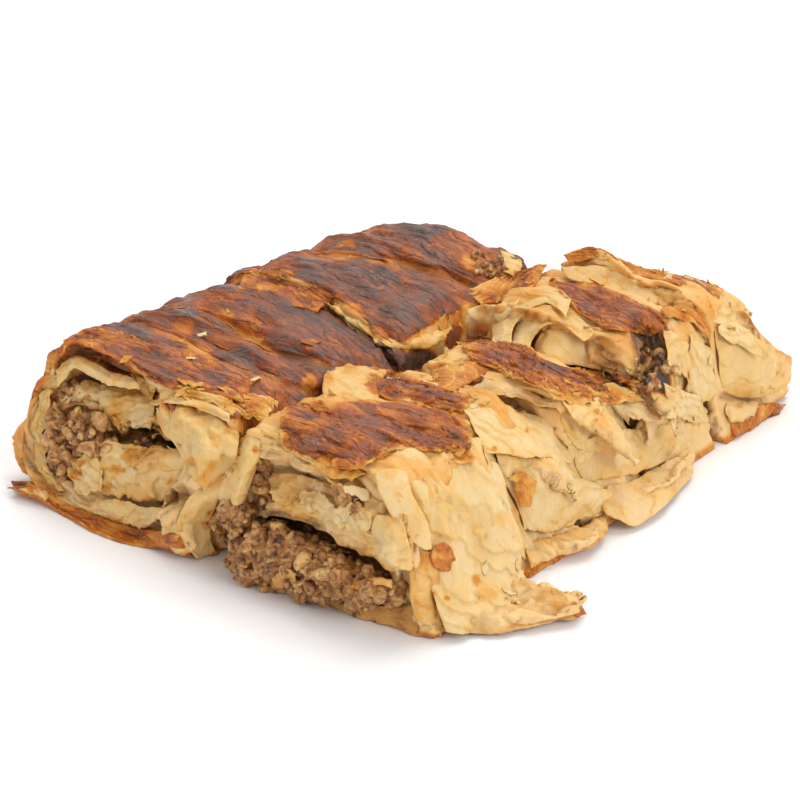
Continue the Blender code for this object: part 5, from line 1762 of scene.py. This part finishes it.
heaps = {}
for number, name in enumerate(FILLINGS):
    heaps[name] = heap_of_mince(name, 60 + number)
    piece_from(name + "_mince_heap", *heaps[name], {}, mince, [name + "_mince"])
    print(name, "mince has", len(heaps[name][1]), "faces")

# %% [markdown]
# Loose bits give a heap its grain. They are strewn only where the mince shows: on the parts of a heap that nothing
# hides from the eye, and near the two ends of its tunnel in the dough.

# %% Loose chunks and crumbs
END_OF_TUNNEL = 3.0
CLEAR_OF_HEAP = 2.0


def showing(points, quads, name):
    """Which faces of a heap are near the piece's cuts or in plain sight."""
    centres = points[quads].mean(axis=1)
    lowest, highest = (in_slab(corner)[1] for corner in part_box(name + "_pastry"))
    near_end = (centres[:, 1] < lowest + END_OF_TUNNEL) | (centres[:, 1] > highest - END_OF_TUNNEL)
    in_sight = np.zeros(len(quads), bool)
    for k in np.flatnonzero(~near_end):
        towards = Vector(CAMERA_PLACE - centres[k]).normalized()
        in_sight[k] = pie_tree.ray_cast(Vector(centres[k]) + CLEAR_OF_HEAP * towards, towards)[0] is None
    return near_end | in_sight


open_mince = joined([(points, quads[showing(points, quads, name)], {}) for name, (points, quads) in heaps.items()])
chunks = strewn("loose_chunks", *open_mince[:2], chunk, per_square_cm=4.5, smallest=0.6, largest=1.9, seed=71,
                material=mince, spread=0.14)
crumbs = strewn("fine_crumbs", *open_mince[:2], crumb, per_square_cm=6.0, smallest=0.3, largest=0.9, seed=72,
                material=mince, spread=0.16)
for data in (chunks, crumbs):
    piece_of(data.name, data, mince)
    print(data.name, "has", len(data.polygons), "faces")

# %% [markdown]
# ## Flakes
#
# Chopping shatters the dry outer sheets, and their flakes lie everywhere. A flake has the tone of what it broke
# from, so each kind is strewn over the faces that are browned about as much: pale ones on the dough, golden ones
# along the crust's borders, brown ones on the crust.

# %% The shape of one flake
HALF_A_FLAKE = 0.09


def flake_object(name, seed, long, wide, bake):
    """A thin torn flake that curls a little, used only as a shape to copy; sizes are in millimetres."""
    n_down, n_along = 6, 12
    v, u = (a.ravel() for a in np.meshgrid(np.linspace(-1, 1, n_down), np.linspace(-1, 1, n_along), indexing="ij"))
    flat = np.zeros_like(u)
    by_length = 1 + 0.6 * bumps(np.stack([3 * u, 5 * np.sign(v), flat], axis=1), 1.0, seed)
    by_width = 1 + 0.4 * bumps(np.stack([7 * np.sign(u), 3 * v, flat], axis=1), 1.0, seed + 1)
    x = 0.5 * long * u * by_width
    y = 0.5 * wide * v * by_length * (1 - 0.85 * np.abs(u) ** 1.4)
    z = 0.2 + 0.35 * u**2 + 0.3 * bumps(np.stack([x, y, flat], axis=1), 1.6, seed + 2)
    points = np.stack([x, y, z], axis=1)
    front = quads_of_grid(n_down, n_along)[:, ::-1]
    normals = point_normals(points, front)
    shell = np.concatenate([points + HALF_A_FLAKE * normals, points - HALF_A_FLAKE * normals])
    values = {"bake": np.full(len(shell), bake), "stain": np.zeros(len(shell))}
    data = mesh_from(name, shell + SLAB_MIDDLE, closed_shell(front, n_down, n_along), values)
    return bpy.data.objects.new(name, data)


# %% Where each kind of flake may lie
fronts = [(points, quads[(quads < len(points) // 2).all(axis=1)], values) for points, quads, values in laid]
ground_points, ground_quads, ground_values = joined(list(bodies.values()) + fronts)
face_bake = ground_values["bake"][ground_quads].mean(axis=1)
face_height = ground_points[ground_quads][:, :, 2].mean(axis=1)
slopes = face_slopes(ground_points, ground_quads)
face_up = slopes[:, 2] / (np.linalg.norm(slopes, axis=1) + TINY)
lies_well = (face_up > 0.1) & (face_height > 1.5)
print("flakes can lie on", int(lies_well.sum()), "faces")

# %% Strew the flakes
FLAKES = {
    "pale_flakes": dict(between=(-1.0, 0.20), long=4.0, wide=2.0, bake=0.04, per_square_cm=0.30),
    "golden_flakes": dict(between=(0.22, 0.50), long=3.4, wide=1.6, bake=0.32, per_square_cm=0.70),
    "crust_flakes": dict(between=(0.50, 2.0), long=5.0, wide=2.2, bake=0.54, per_square_cm=0.22),
}
for number, (name, kind) in enumerate(FLAKES.items()):
    low, high = kind["between"]
    chosen = ground_quads[(face_bake > low) & (face_bake < high) & lies_well]
    shape = flake_object(name + "_shape", 90 + number, kind["long"], kind["wide"], kind["bake"])
    data = strewn(name, ground_points, chosen, shape, kind["per_square_cm"], smallest=0.45, largest=1.2,
                  seed=81 + number, material=phyllo, tumble=0.12, spread=0.07)
    piece_of(name, data, phyllo)
    print(name, "has", len(data.polygons), "faces")
